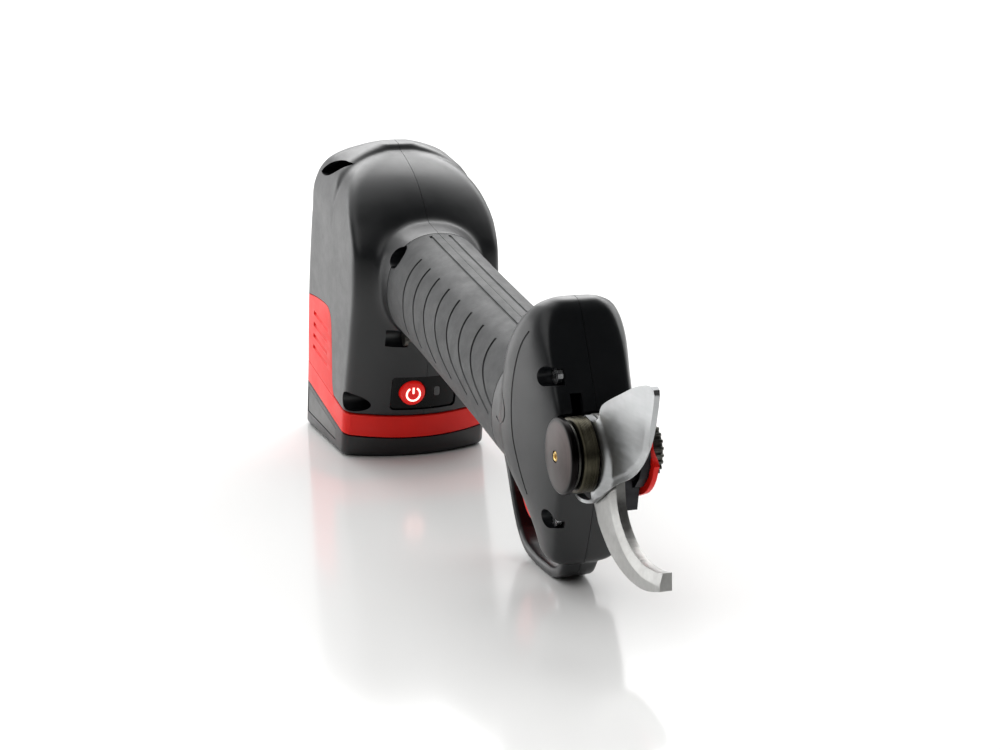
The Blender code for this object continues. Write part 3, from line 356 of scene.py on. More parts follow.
def box_mesh(x, y, z):
    def build(bm):
        bmesh.ops.create_cube(bm, size=1.0)
        for vert in bm.verts:
            vert.co = Vector(low + (co + 0.5) * (high - low) for (low, high), co in zip((x, y, z), vert.co))
    return mesh_from(build)


def lathe(profile, along, centre, steps=96, shape=None):
    """A turned solid from (radius, place along the axis) points; shape(angle) scales the radius."""
    def point(radius, t, angle):
        radius *= shape(angle) if shape else 1.0
        a, b = radius * math.cos(angle), radius * math.sin(angle)
        if along == "x":
            return (t, centre[0] + a, centre[1] + b)
        return (centre[0] + a, t, centre[1] + b)

    def build(bm):
        loops = []
        for radius, t in profile:
            if radius < 1e-7:
                loops.append([bm.verts.new(point(0.0, t, 0.0))])
            else:
                loops.append([bm.verts.new(point(radius, t, 2 * math.pi * i / steps)) for i in range(steps)])
        pairs = list(zip(loops, loops[1:]))
        if len(loops[0]) > 1:
            pairs.append((loops[-1], loops[0]))
        for low, high in pairs:
            for i in range(steps):
                j = (i + 1) % steps
                corners = [low[i % len(low)], low[j % len(low)], high[j % len(high)], high[i % len(high)]]
                corners = [c for n, c in enumerate(corners) if c not in corners[:n]]
                if len(corners) > 2:
                    bm.faces.new(corners)
        face_outward(bm)
    return mesh_from(build)


def prism(outlines, low, high, along="y"):
    """A flat plate with the given closed outlines, inner ones as holes: (x, z) along y, or (y, z) along x."""
    curve = bpy.data.curves.new("outline", "CURVE")
    curve.dimensions = "2D"
    curve.fill_mode = "BOTH"
    curve.extrude = (high - low) / 2
    for outline in outlines:
        spline = curve.splines.new("POLY")
        spline.points.add(len(outline) - 1)
        spline.use_cyclic_u = True
        for point, (a, b) in zip(spline.points, outline):
            point.co = (a, b, 0.0, 1.0)
    holder = bpy.data.objects.new("outline", curve)
    bpy.context.scene.collection.objects.link(holder)
    mesh = evaluated_mesh(holder)
    bpy.data.objects.remove(holder)
    bm = bmesh.new()
    bm.from_mesh(mesh)
    bmesh.ops.remove_doubles(bm, verts=bm.verts, dist=0.002 * MM)
    middle = (low + high) / 2
    for vert in bm.verts:
        a, b, c = vert.co
        vert.co = (a, c + middle, b) if along == "y" else (c + middle, a, b)
    face_outward(bm)
    bm.to_mesh(mesh)
    bm.free()
    return mesh


def evaluated_mesh(item):
    bpy.context.view_layer.update()
    return bpy.data.meshes.new_from_object(item.evaluated_get(bpy.context.evaluated_depsgraph_get()))


def joined(*meshes):
    """Several meshes as one; shells that overlap stay separate."""
    bm = bmesh.new()
    for mesh in meshes:
        bm.from_mesh(mesh)
    result = bpy.data.meshes.new("joined")
    bm.to_mesh(result)
    bm.free()
    return result


def solved(mesh, *steps, modifiers=()):
    """The mesh after exact Booleans (operation, other mesh), then other modifiers (type, settings)."""
    item = bpy.data.objects.new("solved", mesh)
    bpy.context.scene.collection.objects.link(item)
    others = []
    for operation, other in steps:
        tool = bpy.data.objects.new("tool", other)
        bpy.context.scene.collection.objects.link(tool)
        others.append(tool)
        modifier = item.modifiers.new("cut", "BOOLEAN")
        modifier.operation = operation
        modifier.object = tool
    for kind, settings in modifiers:
        modifier = item.modifiers.new(kind.lower(), kind)
        for key, value in settings.items():
            setattr(modifier, key, value)
    result = evaluated_mesh(item)
    for extra in [item, *others]:
        bpy.data.objects.remove(extra)
    return result


def bevelled(width, segments=2, angle=35.0):
    return ("BEVEL", {"width": width, "segments": segments, "limit_method": "ANGLE",
                      "angle_limit": math.radians(angle), "harden_normals": False})


def tube(points, radius, resolution=3):
    """A closed round bar along points."""
    curve = bpy.data.curves.new("bar", "CURVE")
    curve.dimensions = "3D"
    curve.bevel_depth = radius
    curve.bevel_resolution = resolution
    curve.use_fill_caps = True
    spline = curve.splines.new("POLY")
    spline.points.add(len(points) - 1)
    for target, point in zip(spline.points, points):
        target.co = (*point, 1.0)
    holder = bpy.data.objects.new("bar", curve)
    bpy.context.scene.collection.objects.link(holder)
    mesh = evaluated_mesh(holder)
    bpy.data.objects.remove(holder)
    bm = bmesh.new()
    bm.from_mesh(mesh)
    bmesh.ops.remove_doubles(bm, verts=bm.verts, dist=0.001 * MM)
    face_outward(bm)
    bm.to_mesh(mesh)
    bm.free()
    return mesh


def show(name, mesh, material, body, replaces=None, sharp=38.0):
    """Carries a finished mesh into the row frame as a piece that rides on a body."""
    mesh.transform(TOOL)
    mesh.materials.clear()
    mesh.materials.append(material)
    mesh.shade_smooth()
    mesh.set_sharp_from_angle(angle=math.radians(sharp))
    mesh.name = name
    piece = bpy.data.objects.new(name, mesh)
    bpy.context.scene.collection.objects.link(piece)
    if replaces:
        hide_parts(replaces)
    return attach(piece, body)


# ---------------------------------------------------------------- curves and sections

def millimetres(rows):
    return [tuple(value * MM for value in row) for row in rows]


def smooth_rows(rows, count):
    """Rows resampled along a curve through them that never overshoots a row."""
    table = np.array(rows, float)
    n = len(table)
    slopes = np.diff(table, axis=0)
    tangents = np.zeros_like(table)
    tangents[0], tangents[-1] = slopes[0], slopes[-1]
    for i in range(1, n - 1):
        product = slopes[i - 1] * slopes[i]
        total = slopes[i - 1] + slopes[i]
        safe = np.where(total == 0, 1.0, total)
        tangents[i] = np.where(product > 0, 2 * product / safe, 0.0)
    result = []
    for u in np.linspace(0, n - 1, count):
        i = min(int(u), n - 2)
        t = u - i
        h00, h10 = 2 * t**3 - 3 * t**2 + 1, t**3 - 2 * t**2 + t
        h01, h11 = -2 * t**3 + 3 * t**2, t**3 - t**2
        row = h00 * table[i] + h10 * tangents[i] + h01 * table[i + 1] + h11 * tangents[i + 1]
        result.append(tuple(float(value) for value in row))
    return result


def rounded(points, count, cyclic=False):
    """A Catmull-Rom curve through points, as count points for each span."""
    n = len(points)
    spans = n if cyclic else n - 1
    result = []
    for i in range(spans):
        ids = [i - 1, i, i + 1, i + 2]
        p = [np.array(points[k % n] if cyclic else points[min(max(k, 0), n - 1)], float) for k in ids]
        for s in range(count):
            t = s / count
            result.append(tuple(0.5 * (2 * p[1] + (p[2] - p[0]) * t + (2 * p[0] - 5 * p[1] + 4 * p[2] - p[3]) * t**2
                                       + (3 * p[1] - p[0] - 3 * p[2] + p[3]) * t**3)))
    if not cyclic:
        result.append(tuple(points[-1]))
    return result


def arc(centre, radius, start, stop, count):
    steps = [math.radians(start + (stop - start) * i / (count - 1)) for i in range(count)]
    return [(centre[0] + radius * math.cos(a), centre[1] + radius * math.sin(a)) for a in steps]


def rounded_box(low, high, radius, count=6):
    """Outline of a rectangle with round corners, from its low and high corners."""
    (a0, b0), (a1, b1) = low, high
    return (arc((a1 - radius, b1 - radius), radius, 0, 90, count)
            + arc((a0 + radius, b1 - radius), radius, 90, 180, count)
            + arc((a0 + radius, b0 + radius), radius, 180, 270, count)
            + arc((a1 - radius, b0 + radius), radius, 270, 360, count))


def block_ring(z, back, front, half_width, bulge, inset=0.0, slope=0.0):
    back, front, half_width = back + inset, front - inset, half_width - inset
    near = min(FRONT_CORNER, half_width * 0.45, (front - back) * 0.3)
    far = min(BACK_CORNER, half_width * 0.7, (front - back) * 0.45)
    flat = half_width - near
    outline = [(front, -flat + 2 * flat * i / 24) for i in range(25)]
    outline += arc((front - near, half_width - near), near, 0, 90, 8)[1:]
    outline += arc((back + far, half_width - far), far, 90, 180, 12)
    outline += arc((back + far, far - half_width), far, 180, 270, 12)
    outline += arc((front - near, near - half_width), near, 270, 360, 8)[:-1]
    points = []
    for x, y in outline:
        share = max(0.0, (x - back) / (front - back))
        bow = bulge * (1 - (y / half_width) ** 2) * share ** 3
        points.append(Vector((x + bow, y, z + slope * (x + bow))))
    return points


def power_ring(count, half_a, half_b, power):
    points = []
    for i in range(count):
        angle = 2 * math.pi * (i + 0.5) / count
        c, s = math.cos(angle), math.sin(angle)
        points.append((half_a * math.copysign(abs(c) ** (2 / power), c),
                       half_b * math.copysign(abs(s) ** (2 / power), s)))
    return points


def grip_ring(x, half_width, half_height, inset=0.0):
    section = power_ring(72, half_width - inset, half_height - inset, GRIP_POWER)
    return [Vector((x, y, GRIP_Z + z)) for y, z in section]


def head_ring(z, rear, front, half_width, taper, inset=0.0):
    """Section of the head: a nearly flat face in front, a crisp corner, then a flank that swells to the rear."""
    middle, half_depth = (rear + front) / 2, (front - rear) / 2 - inset
    half_width -= inset
    face = FACE_SHARE * half_width * (1 - taper)
    corner = min(1.0 * MM, half_depth * 0.3, face * 0.3)
    side = []
    for i in range(13):
        y = (face - corner) * i / 12
        side.append((half_depth - FACE_CROWN * (y / face) ** 2 * min(1.0, half_depth / (5 * MM)), y))
    x0, y0 = side[-1]
    side += [(x0 - corner + corner * math.cos(a), y0 + corner * math.sin(a))
             for a in (math.radians(12 * i) for i in range(1, 6))]
    x0, y0 = side[-1]
    loss = half_width * (1 - taper * x0 / half_depth) - y0
    for i in range(1, 15):
        x = x0 * (1 - i / 14)
        side.append((x, half_width * (1 - taper * x / half_depth) - loss * (x / x0) ** 3))
    for i in range(1, 21):
        turn = math.pi / 2 * i / 20
        x = -half_depth * math.sin(turn) ** (2 / HEAD_POWER)
        y = half_width * max(0.0, math.cos(turn)) ** (2 / HEAD_POWER) * (1 - taper * x / half_depth)
        side.append((x, y))
    outline = side + [(x, -y) for x, y in reversed(side[1:-1])]
    return [Vector((middle + x, y, z)) for x, y in outline]


def block_skin(stations, count, inset=0.0, floor=None):
    rings = [block_ring(*row, inset=inset) for row in millimetres(smooth_rows(stations, count))]
    if inset:
        for point in rings[-1]:
            point.z -= inset
    if floor is not None:
        for point in rings[0]:
            point.z = floor
    return closed_skin(rings)


def head_rows(count):
    return [(z * MM, a * MM, b * MM, w * MM, taper) for z, a, b, w, taper in smooth_rows(HEAD_STATIONS, count)]


def grip_skin(rows, inset=0.0):
    return closed_skin([grip_ring(*row, inset=inset) for row in millimetres(rows)])


def guard_skin():
    line = [Vector((x * MM, 0.0, z * MM)) for x, z in rounded(GUARD_LINE, 8)]
    w, t, r = GUARD_HALF_WIDTH + 2 * GUARD_SPARE, GUARD_THICKNESS + GUARD_SPARE, 0.6 * MM
    section = rounded_box((-w, -GUARD_SPARE / 4), (w, t), r, 4)
    rings = []
    for i, point in enumerate(line):
        along = (line[min(len(line) - 1, i + 1)] - line[max(0, i - 1)]).normalized()
        inward = Vector((-along.z, 0.0, along.x))
        rings.append([point + Vector((0.0, y, 0.0)) + inward * h for y, h in section])
    return closed_skin(rings)


# ---------------------------------------------------------------- body: block, grip, head and guard in one skin

def eased(low, high, value):
    share = np.clip((value - low) / (high - low), 0.0, 1.0)
    return share * share * (3 - 2 * share)


def melt(mesh):
    """Rounds the skin where shapes meet: a little everywhere, more where the grip joins the block and the head."""
    count = len(mesh.vertices)
    place = np.empty(count * 3)
    mesh.vertices.foreach_get("co", place)
    place = place.reshape(count, 3)
    ends = np.empty(len(mesh.edges) * 2, dtype=np.int32)
    mesh.edges.foreach_get("vertices", ends)
    first, second = ends.reshape(-1, 2).T
    degree = np.bincount(ends, minlength=count)
    x, y, z = place.T / MM
    root = eased(-11, -4, x) * eased(16.5, 13, x) * eased(24, 19, abs(y)) * eased(40, 48, z) * eased(104, 98, z)
    neck = eased(120, 127, x) * eased(139, 133, x) * eased(54, 60, z) * eased(99, 93, z)
    steps = MELT_STEPS * (1 + 5 * root + 3 * neck)
    for step in range(int(steps.max())):
        pull = 0.5 * np.clip(steps - step, 0.0, 1.0) / degree
        for axis in range(3):
            values = place[:, axis]
            total = (np.bincount(first, values[second], count) + np.bincount(second, values[first], count))
            place[:, axis] = values + pull * (total - degree * values)
    mesh.vertices.foreach_set("co", place.ravel())
    mesh.update()
    return mesh


def body_skin():
    grip_rows = smooth_rows([(6.0, 17.9, 19.8)] + GRIP_STATIONS + [(137.0, 17.4, 19.6)], 40)
    parts = joined(
        block_skin(BLOCK_STATIONS, 90),
        block_skin(RIM_STATIONS, 60),
        grip_skin(smooth_rows(FLARE_STATIONS, 24)),
        grip_skin(grip_rows),
        closed_skin([head_ring(*row) for row in head_rows(110)]),
        guard_skin(),
    )
    return melt(solved(parts, modifiers=[("REMESH", {"mode": "VOXEL", "voxel_size": VOXEL})]))


BODY = body_skin()
BODY_TREE = BVHTree.FromPolygons([v.co for v in BODY.vertices], [tuple(p.vertices) for p in BODY.polygons])


def on_side(x, z, sign=-1):
    """The body's flank at (x, z): where a line along y from outside meets it."""
    start = Vector((x, sign * 40 * MM, z))
    hit = BODY_TREE.ray_cast(start, Vector((0.0, -sign, 0.0)))[0]
    return hit if hit else Vector((x, 0.0, z))


def on_grip(x, angle):
    """The grip's surface at x; angle 0 is the right flank, 90 the top."""
    way = Vector((0.0, -math.cos(angle), math.sin(angle)))
    start = Vector((x, 0.0, GRIP_Z)) + way * 40 * MM
    hit = BODY_TREE.ray_cast(start, -way)[0]
    return hit if hit else start


def mirrored(points):
    return [Vector((p[0], -p[1], p[2])) for p in points]


# Grip grooves: each falls from the top and sweeps forward at its lower end.
GROOVE_TOPS = [33.3, 43.0, 53.0, 63.5, 74.3, 86.0, 97.5, 109.2]
GROOVE_SWEEPS = [4.6, 10.0, 16.5, 23.0, 28.5, 28.0, 26.5, 24.6]
GROOVE_TOP_ANGLE = 56.0
GROOVE_LOW_ANGLES = [-31.0, -28.0, -24.5, -20.0, -16.0, -11.5, -7.0, -2.5]
GROOVE_BEND = [(0.0, 0.0), (0.3, 0.09), (0.55, 0.22), (0.8, 0.5), (1.0, 1.0)]
GROOVE_RADIUS = 0.56 * MM


def groove_lines():
    lines = []
    for top, sweep, low in zip(GROOVE_TOPS, GROOVE_SWEEPS, GROOVE_LOW_ANGLES):
        points = []
        for share, forward in rounded(GROOVE_BEND, 6):
            angle = math.radians(GROOVE_TOP_ANGLE + (low - GROOVE_TOP_ANGLE) * share)
            points.append(on_grip((top + sweep * forward) * MM, angle))
        lines += [points, mirrored(points)]
    return lines


def strip_lines():
    """Two grooves along the grip's crown that leave a narrow strip over the seam."""
    lines = []
    for angle in (80.0, 100.0):
        lines.append([on_grip((19 + 3.4 * i) * MM, math.radians(angle)) for i in range(32)])
    return lines


def flank_lines():
    """A crease down each flank of the head, and a hairpin where the grip's last groove would be."""
    lines = []
    crease = rounded([(145.0, 103.0), (143.2, 97.0), (142.4, 88.5), (143.0, 79.5), (145.0, 71.0), (148.4, 63.0),
                      (152.4, 55.5)], 6)
    points = [on_side(x * MM, z * MM) for x, z in crease]
    lines += [points, mirrored(points)]
    hairpin = rounded([(131.0, 36.0), (135.0, 29.0), (138.2, 21.0), (139.4, 12.0), (138.0, 3.0), (134.4, -2.0),
                       (131.0, 0.0)], 6)
    points = [on_grip(x * MM, math.radians(angle)) for x, angle in hairpin]
    lines += [points, mirrored(points)]
    return lines


def eye_pocket(grow=0.0):
    """Outline of the long pocket in the block's right shoulder: a lens, blunter at its lower end."""
    (x0, z0), (x1, z1), depth, _ = TOP_POCKET
    start, end = Vector((x0, z0)) * MM, Vector((x1, z1)) * MM
    along = (end - start).normalized()
    across = Vector((-along.y, along.x))
    upper, lower = [], []
    for i in range(17):
        share = i / 16
        bulge = depth * MM * (math.sin(math.pi * share) ** 0.75) * (1.15 - 0.3 * share)
        point = start - along * grow + (end - start + 2 * along * grow) * share
        upper.append(tuple(point + across * (bulge + grow)))
        lower.append(tuple(point - across * (bulge + grow)))
    if grow == 0.0:
        upper, lower = upper[:-1], lower[1:]
    return lower + upper[::-1]


def teardrop(x, z, radius):
    """Outline of a head pocket: round at the screw, running to a point at the front edge."""
    tip = (x + radius + 2.6, z - 0.9)
    return millimetres(arc((x, z), radius, 42, 308, 24) + [(tip[0], tip[1] - 0.25), (tip[0], tip[1] + 0.25)])


def screw_pockets():
    """Clearance for the driver on the right of each housing screw, and the seats of their heads."""
    cutters = [prism([eye_pocket()], -34 * MM, TOP_POCKET[3] * MM)]
    x, z, radius = TOP_SCREW
    seat = [(0.0, -7.9 * MM), (radius * MM, -7.9 * MM), (radius * MM, -11.5 * MM), (0.0, -11.5 * MM)]
    cutters.append(lathe(seat, "y", (x * MM, z * MM), steps=48))
    for x, z, radius, start in POCKETS[:3]:
        profile = [(0.0, POCKET_FLOOR), (radius * MM, POCKET_FLOOR), (radius * MM, start * MM), (0.0, start * MM)]
        cutters.append(lathe(profile, "y", (x * MM, z * MM), steps=48))
    for x, z, radius, start in POCKETS[3:]:
        cutters.append(prism([teardrop(x, z, radius)], start * MM, POCKET_FLOOR))
    return cutters


def screw_posts():
    """Sleeves around the pockets, and slim posts that carry on to the left wall."""
    posts = [prism([eye_pocket(1.6 * MM)], -32 * MM, (TOP_POCKET[3] + 1.6) * MM)]
    for x, z, radius, _ in POCKETS:
        sleeve, slim, step = (radius + 1.2) * MM, 3.0 * MM, POCKET_FLOOR + 1.2 * MM
        profile = [(0.0, 30 * MM), (slim, 30 * MM), (slim, step), (sleeve, step), (sleeve, -30 * MM), (0.0, -30 * MM)]
        posts.append(lathe(profile, "y", (x * MM, z * MM), steps=32))
    return posts


def pad_outline(grow=0.0):
    """Side view of a release pad; grow widens it for its opening, which is open at the bottom."""
    corners = millimetres([(-54.5, 18.7), (-13.6, 18.7), (-15.6, 21.0), (-17.0, 25.0), (-18.6, 36.0),
                           (-20.4, 45.6), (-23.0, 49.2), (-28.0, 50.2), (-41.0, 48.4), (-54.5, 45.4)])
    top = rounded(corners[2:], 6)
    points = corners[:2] + top
    middle = Vector((-36.0 * MM, 30.0 * MM))
    outline = []
    for point in points:
        away = Vector(point) - middle
        outline.append(tuple(middle + away * (1 + grow / max(abs(away.x), abs(away.y)))))
    if grow:
        below = SEAM_Z * MM - 2 * MM
        outline = [(outline[0][0], below), (outline[1][0], below)] + outline[1:]
    return outline


def cheek_outline(grow):
    rear, top, bottom = 104 * MM - grow, DRIVE_Z + 8 * MM + grow, DRIVE_Z - 8 * MM - grow
    outline = [(rear, top), (rear, bottom), (PIVOT_X - 12 * MM, bottom)]
    outline += arc((PIVOT_X, PIVOT_Z), 11 * MM + grow, 235, 480, 24)
    return outline + [(PIVOT_X - 14 * MM, PIVOT_Z + 8.6 * MM + grow), (PIVOT_X - 24 * MM, top)]


def inner_room():
    """The hollow of the block, the grip's core and the head."""
    hollow = block_skin(BLOCK_STATIONS[:-2], 24, inset=BLOCK_WALL, floor=0.0)
    inset = PAD_THICKNESS + GAP + GRIP_WALL
    bore = grip_skin([(-8.0, 17.8, 19.7)] + GRIP_STATIONS[1:-1] + [(140.0, 17.4, 19.6)], inset)
    rows = [row for row in head_rows(30) if 40 * MM < row[0] < 107 * MM]
    chamber = closed_skin([head_ring(*row, inset=HEAD_WALL + 0.4 * MM) for row in rows])
    room = solved(hollow, ("UNION", bore), ("UNION", chamber))
    for post in screw_posts():
        room = solved(room, ("DIFFERENCE", post))
    return room


def make_housings():
    tail_y = (BLADE_Y[0] - 2 * GAP, BLADE_Y[1] + 2 * GAP)
    mouth = lathe([(0.0, -40 * MM), (MOUTH_RADIUS, -40 * MM), (MOUTH_RADIUS, 40 * MM), (0.0, 40 * MM)], "y",
                  (PIVOT_X, PIVOT_Z), steps=96)
    openings = solved(
        mouth,
        ("UNION", box_mesh((163.2 * MM, 190 * MM), (-40.1 * MM, 40.1 * MM), (65.4 * MM, PIVOT_Z + 1.3 * MM))),
        ("UNION", box_mesh((154.3 * MM, 190.1 * MM), tail_y, (62.3 * MM, PIVOT_Z + 12.4 * MM))),
        ("UNION", box_mesh((111.2 * MM, 133.7 * MM), (-4.5 * MM, 4.5 * MM), (42.7 * MM, 63.3 * MM))),
        ("UNION", prism([cheek_outline(GAP)], CHEEK_Y[0] - GAP, CHEEK_Y[1] + GAP)),
        ("UNION", prism([rounded_box((-12.5 * MM, 21.2 * MM), (12.5 * MM, 34.9 * MM), 1.6 * MM)], 3.0 * MM,
                        22 * MM, "x")),
    )
    steps = [("DIFFERENCE", openings)]
    steps += [("DIFFERENCE", joined(*screw_pockets()))]
    pads = [prism([pad_outline(GAP)], *sorted((sign * 21.6 * MM, sign * 32 * MM))) for sign in (-1, 1)]
    steps += [("DIFFERENCE", joined(*pads))]
    core = grip_skin([(0.0, 17.8, 19.7)] + GRIP_STATIONS[1:-1] + [(145.0, 17.4, 19.6)], PAD_THICKNESS + GAP)
    sleeve = solved(box_mesh((PAD_X[0] - GAP, PAD_X[1] + GAP), (-30 * MM, 30 * MM), (53 * MM, 100 * MM)),
                    ("DIFFERENCE", core))
    sleeve = solved(sleeve, ("DIFFERENCE", box_mesh((97.7 * MM, 140 * MM), (-6.2 * MM, 6.2 * MM),
                                                     (40 * MM, 60 * MM))))
    steps += [("DIFFERENCE", sleeve), ("DIFFERENCE", inner_room())]
    creases = joined(*[tube(line, 0.34 * MM) for line in flank_lines()])
    steps += [("DIFFERENCE", creases)]
    whole = solved(BODY.copy(), *steps)
    for side, sign in (("right", -1), ("left", 1)):
        y = sorted((sign * SEAM / 2, sign * 60 * MM))
        half = solved(whole.copy(), ("INTERSECT", box_mesh((-90 * MM, 220 * MM), y, (-10 * MM, 140 * MM))))
        show(f"{side}_shell", half, HOUSING, "housing", f"{side}_housing")


def make_grip_skins():
    core = grip_skin([(0.0, 17.8, 19.7)] + GRIP_STATIONS[1:-1] + [(145.0, 17.4, 19.6)], PAD_THICKNESS)
    lines = joined(*[tube(line, GROOVE_RADIUS) for line in groove_lines() + strip_lines()])
    gap = box_mesh((98 * MM, 140 * MM), (-6.2 * MM, 6.2 * MM), (40 * MM, 60 * MM))
    x, z, radius, _ = POCKETS[1]
    radius = (radius + 0.4) * MM
    hole = [(0.0, -4.2 * MM), (radius, -4.2 * MM), (radius, -31 * MM), (0.0, -31 * MM)]
    drilled = solved(BODY.copy(), ("DIFFERENCE", lathe(hole, "y", (x * MM, z * MM), steps=50)))
    for side, sign in (("right", -1), ("left", 1)):
        y = sorted((sign * SEAM / 2, sign * 60 * MM))
        half = drilled.copy()
        for operation, other in (("INTERSECT", box_mesh(PAD_X, y, (20 * MM, 120 * MM))), ("DIFFERENCE", core.copy()),
                                 ("DIFFERENCE", gap.copy()), ("DIFFERENCE", lines.copy())):
            half = solved(half, (operation, other))
        show(f"grip_skin_{side}", half, GRIP, "housing", f"grip_pad_{side}")


# ---------------------------------------------------------------- battery pack

def make_pack():
    _, back, front, half_width, bulge = BLOCK_STATIONS[0]
    back, front, half_width, bulge = back * MM, (front - 1.0) * MM, half_width * MM, bulge * MM
    rows = []
    for i in range(7):
        turn = math.pi / 2 * i / 6
        inset = BASE_CHAMFER * (1 - math.sin(turn))
        lift = BASE_CHAMFER * (1 - math.cos(turn))
        rows.append(block_ring(UNDERSIDE_Z + lift, back, front, half_width, bulge, inset, UNDERSIDE_SLOPE))
    edge = 0.35 * MM
    rows.append(block_ring(BASE_TOP_Z - edge, back, front, half_width, bulge))
    rows.append(block_ring(BASE_TOP_Z, back, front, half_width, bulge, edge))
    base = closed_skin(rows)
    plates = []
    for sign in (-1, 1):
        y = sorted((sign * (half_width - 0.35 * MM), sign * (half_width + 2 * MM)))
        outline = [(-52 * MM, -2.9 * MM), (-10 * MM, 2.9 * MM), (-10 * MM, 7.6 * MM), (-52 * MM, 7.6 * MM)]
        plates.append(prism([outline], *y))
    show("pack_base", solved(base, ("DIFFERENCE", joined(*plates))), BASE, "battery", "battery_base")
    for side, sign in (("right", -1), ("left", 1)):
        y = sorted((sign * (half_width - 0.33 * MM), sign * (half_width - 0.12 * MM)))
        outline = [(-51.5 * MM, -2.4 * MM), (-10.5 * MM, 3.3 * MM), (-10.5 * MM, 7.2 * MM), (-51.5 * MM, 7.2 * MM)]
        show(f"label_{side}", prism([outline], *y), LABEL, "battery")
    front += 0.6 * MM
    rows = [block_ring(COLLAR_Z[0], back, front, half_width, bulge, edge),
            block_ring(COLLAR_Z[0] + edge, back, front, half_width, bulge),
            block_ring(COLLAR_Z[1] - edge, back, front, half_width, bulge),
            block_ring(COLLAR_Z[1], back, front, half_width, bulge, edge)]
    low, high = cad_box("battery_case")
    room = box_mesh((low.x - GAP, high.x + GAP), (low.y - GAP, high.y + GAP), (0.0, 30 * MM))
    show("pack_collar", solved(closed_skin(rows), ("DIFFERENCE", room)), RED, "battery", "battery_collar")


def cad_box(node):
    """Corners of a CAD node in the tool's own axes."""
    inverse = TOOL.inverted()
    points = [inverse @ vert.co for vert in NODES[node].data.vertices]
    low = Vector(min(p[i] for p in points) for i in range(3))
    high = Vector(max(p[i] for p in points) for i in range(3))
    return low, high


def make_release_pads():
    """Red pads that carry the block's flank across their opening, with plain finger ribs."""
    outer = block_skin(BLOCK_STATIONS[:4], 40)
    inner = block_skin(BLOCK_STATIONS[:4], 40, inset=1.9 * MM, floor=10 * MM)
    for side, sign in (("right", -1), ("left", 1)):
        region = prism([pad_outline()], *sorted((sign * 18 * MM, sign * 32 * MM)))
        pad = solved(outer.copy(), ("DIFFERENCE", inner), ("INTERSECT", region), modifiers=[bevelled(0.3 * MM, 3, 50)])
        cuts = []
        for i in range(4):
            z = (27.0 + 4.6 * i) * MM
            line = [Vector(((-46 + 1.5 * k) * MM, sign * 27.7 * MM, z + 0.35 * MM * k / 14)) for k in range(15)]
            cuts.append(tube(line, 0.85 * MM, 4))
        pad = solved(pad, ("DIFFERENCE", joined(*cuts)))
        show(f"release_pad_{side}", pad, RED, f"latch_{side}", f"latch_{side}")


# ---------------------------------------------------------------- control panel

def make_panel():
    skin = block_skin(BLOCK_STATIONS[:4], 40, inset=0.5 * MM, floor=19 * MM)
    region = prism([rounded_box((-12.2 * MM, 21.5 * MM), (12.2 * MM, 34.6 * MM), 1.4 * MM)], 6.8 * MM, 20 * MM, "x")
    button_y, button_z = -4.6 * MM, 28.3 * MM
    hole = lathe([(0.0, 3 * MM), (5.0 * MM, 3 * MM), (5.0 * MM, 20 * MM), (0.0, 20 * MM)], "x", (button_y, button_z))
    slit = prism([rounded_box((3.3 * MM, 26.4 * MM), (5.9 * MM, 30.4 * MM), 0.9 * MM)], 3 * MM, 20 * MM, "x")
    panel = solved(skin, ("INTERSECT", region), ("DIFFERENCE", hole), ("DIFFERENCE", slit),
                   modifiers=[bevelled(0.2 * MM, 2, 50)])
    show("panel_face", panel, PANEL, "housing", "control_panel")
    lens = prism([rounded_box((3.5 * MM, 26.6 * MM), (5.7 * MM, 30.2 * MM), 0.8 * MM)], 7.4 * MM, 10.2 * MM, "x")
    show("lens_face", solved(lens, modifiers=[bevelled(0.25 * MM, 3, 50)]), LENS, "housing", "status_lens")
    cap = [(0.0, 11.15 * MM), (1.8 * MM, 11.12 * MM), (3.2 * MM, 11.02 * MM), (4.1 * MM, 10.85 * MM),
           (4.5 * MM, 10.6 * MM), (4.7 * MM, 10.2 * MM), (4.7 * MM, 7.4 * MM), (0.0, 7.4 * MM)]
    show("button_cap", lathe(cap, "x", (button_y, button_z), 72), BUTTON_RED, "button", "power_button")
    face = 11.12 * MM
    ring = [(face, button_y + 2.5 * MM * math.cos(a), button_z - 0.2 * MM + 2.5 * MM * math.sin(a))
            for a in (math.radians(122 + 296 * i / 40) for i in range(41))]
    bar = [(face + 0.03 * MM, button_y, button_z + (0.1 + 0.75 * i) * MM) for i in range(4)]
    show("button_symbol_ring", tube(ring, 0.33 * MM, 4), SYMBOL, "button")
    show("button_symbol_bar", tube(bar, 0.36 * MM, 4), SYMBOL, "button")


# ---------------------------------------------------------------- blades

def about_pivot(points):
    return [(PIVOT_X + x * MM, PIVOT_Z + z * MM) for x, z in points]


CUTTING_EDGE = [(37.2, 32.4), (37.0, 27.0), (36.0, 20.0), (33.4, 13.5), (29.5, 8.0), (24.5, 3.4), (18.6, -0.6),
                (13.5, -4.6), (9.4, -8.6)]
HOOK_EDGE = [(46.4, -13.2), (42.0, -15.0), (34.4, -16.6), (26.6, -16.0), (20.0, -13.0), (15.8, -8.6), (13.6, -3.0)]
BLADE_BACK = [(-3.0, 10.3), (2.0, 10.5), (4.8, 12.4), (5.8, 16.0), (9.4, 19.3), (17.7, 24.8), (26.0, 30.2), (32.0, 33.2), (35.4, 34.1)]


def nearest(line, x, z):
    return np.sqrt(((line - (x, z)) ** 2).sum(axis=1)).min()


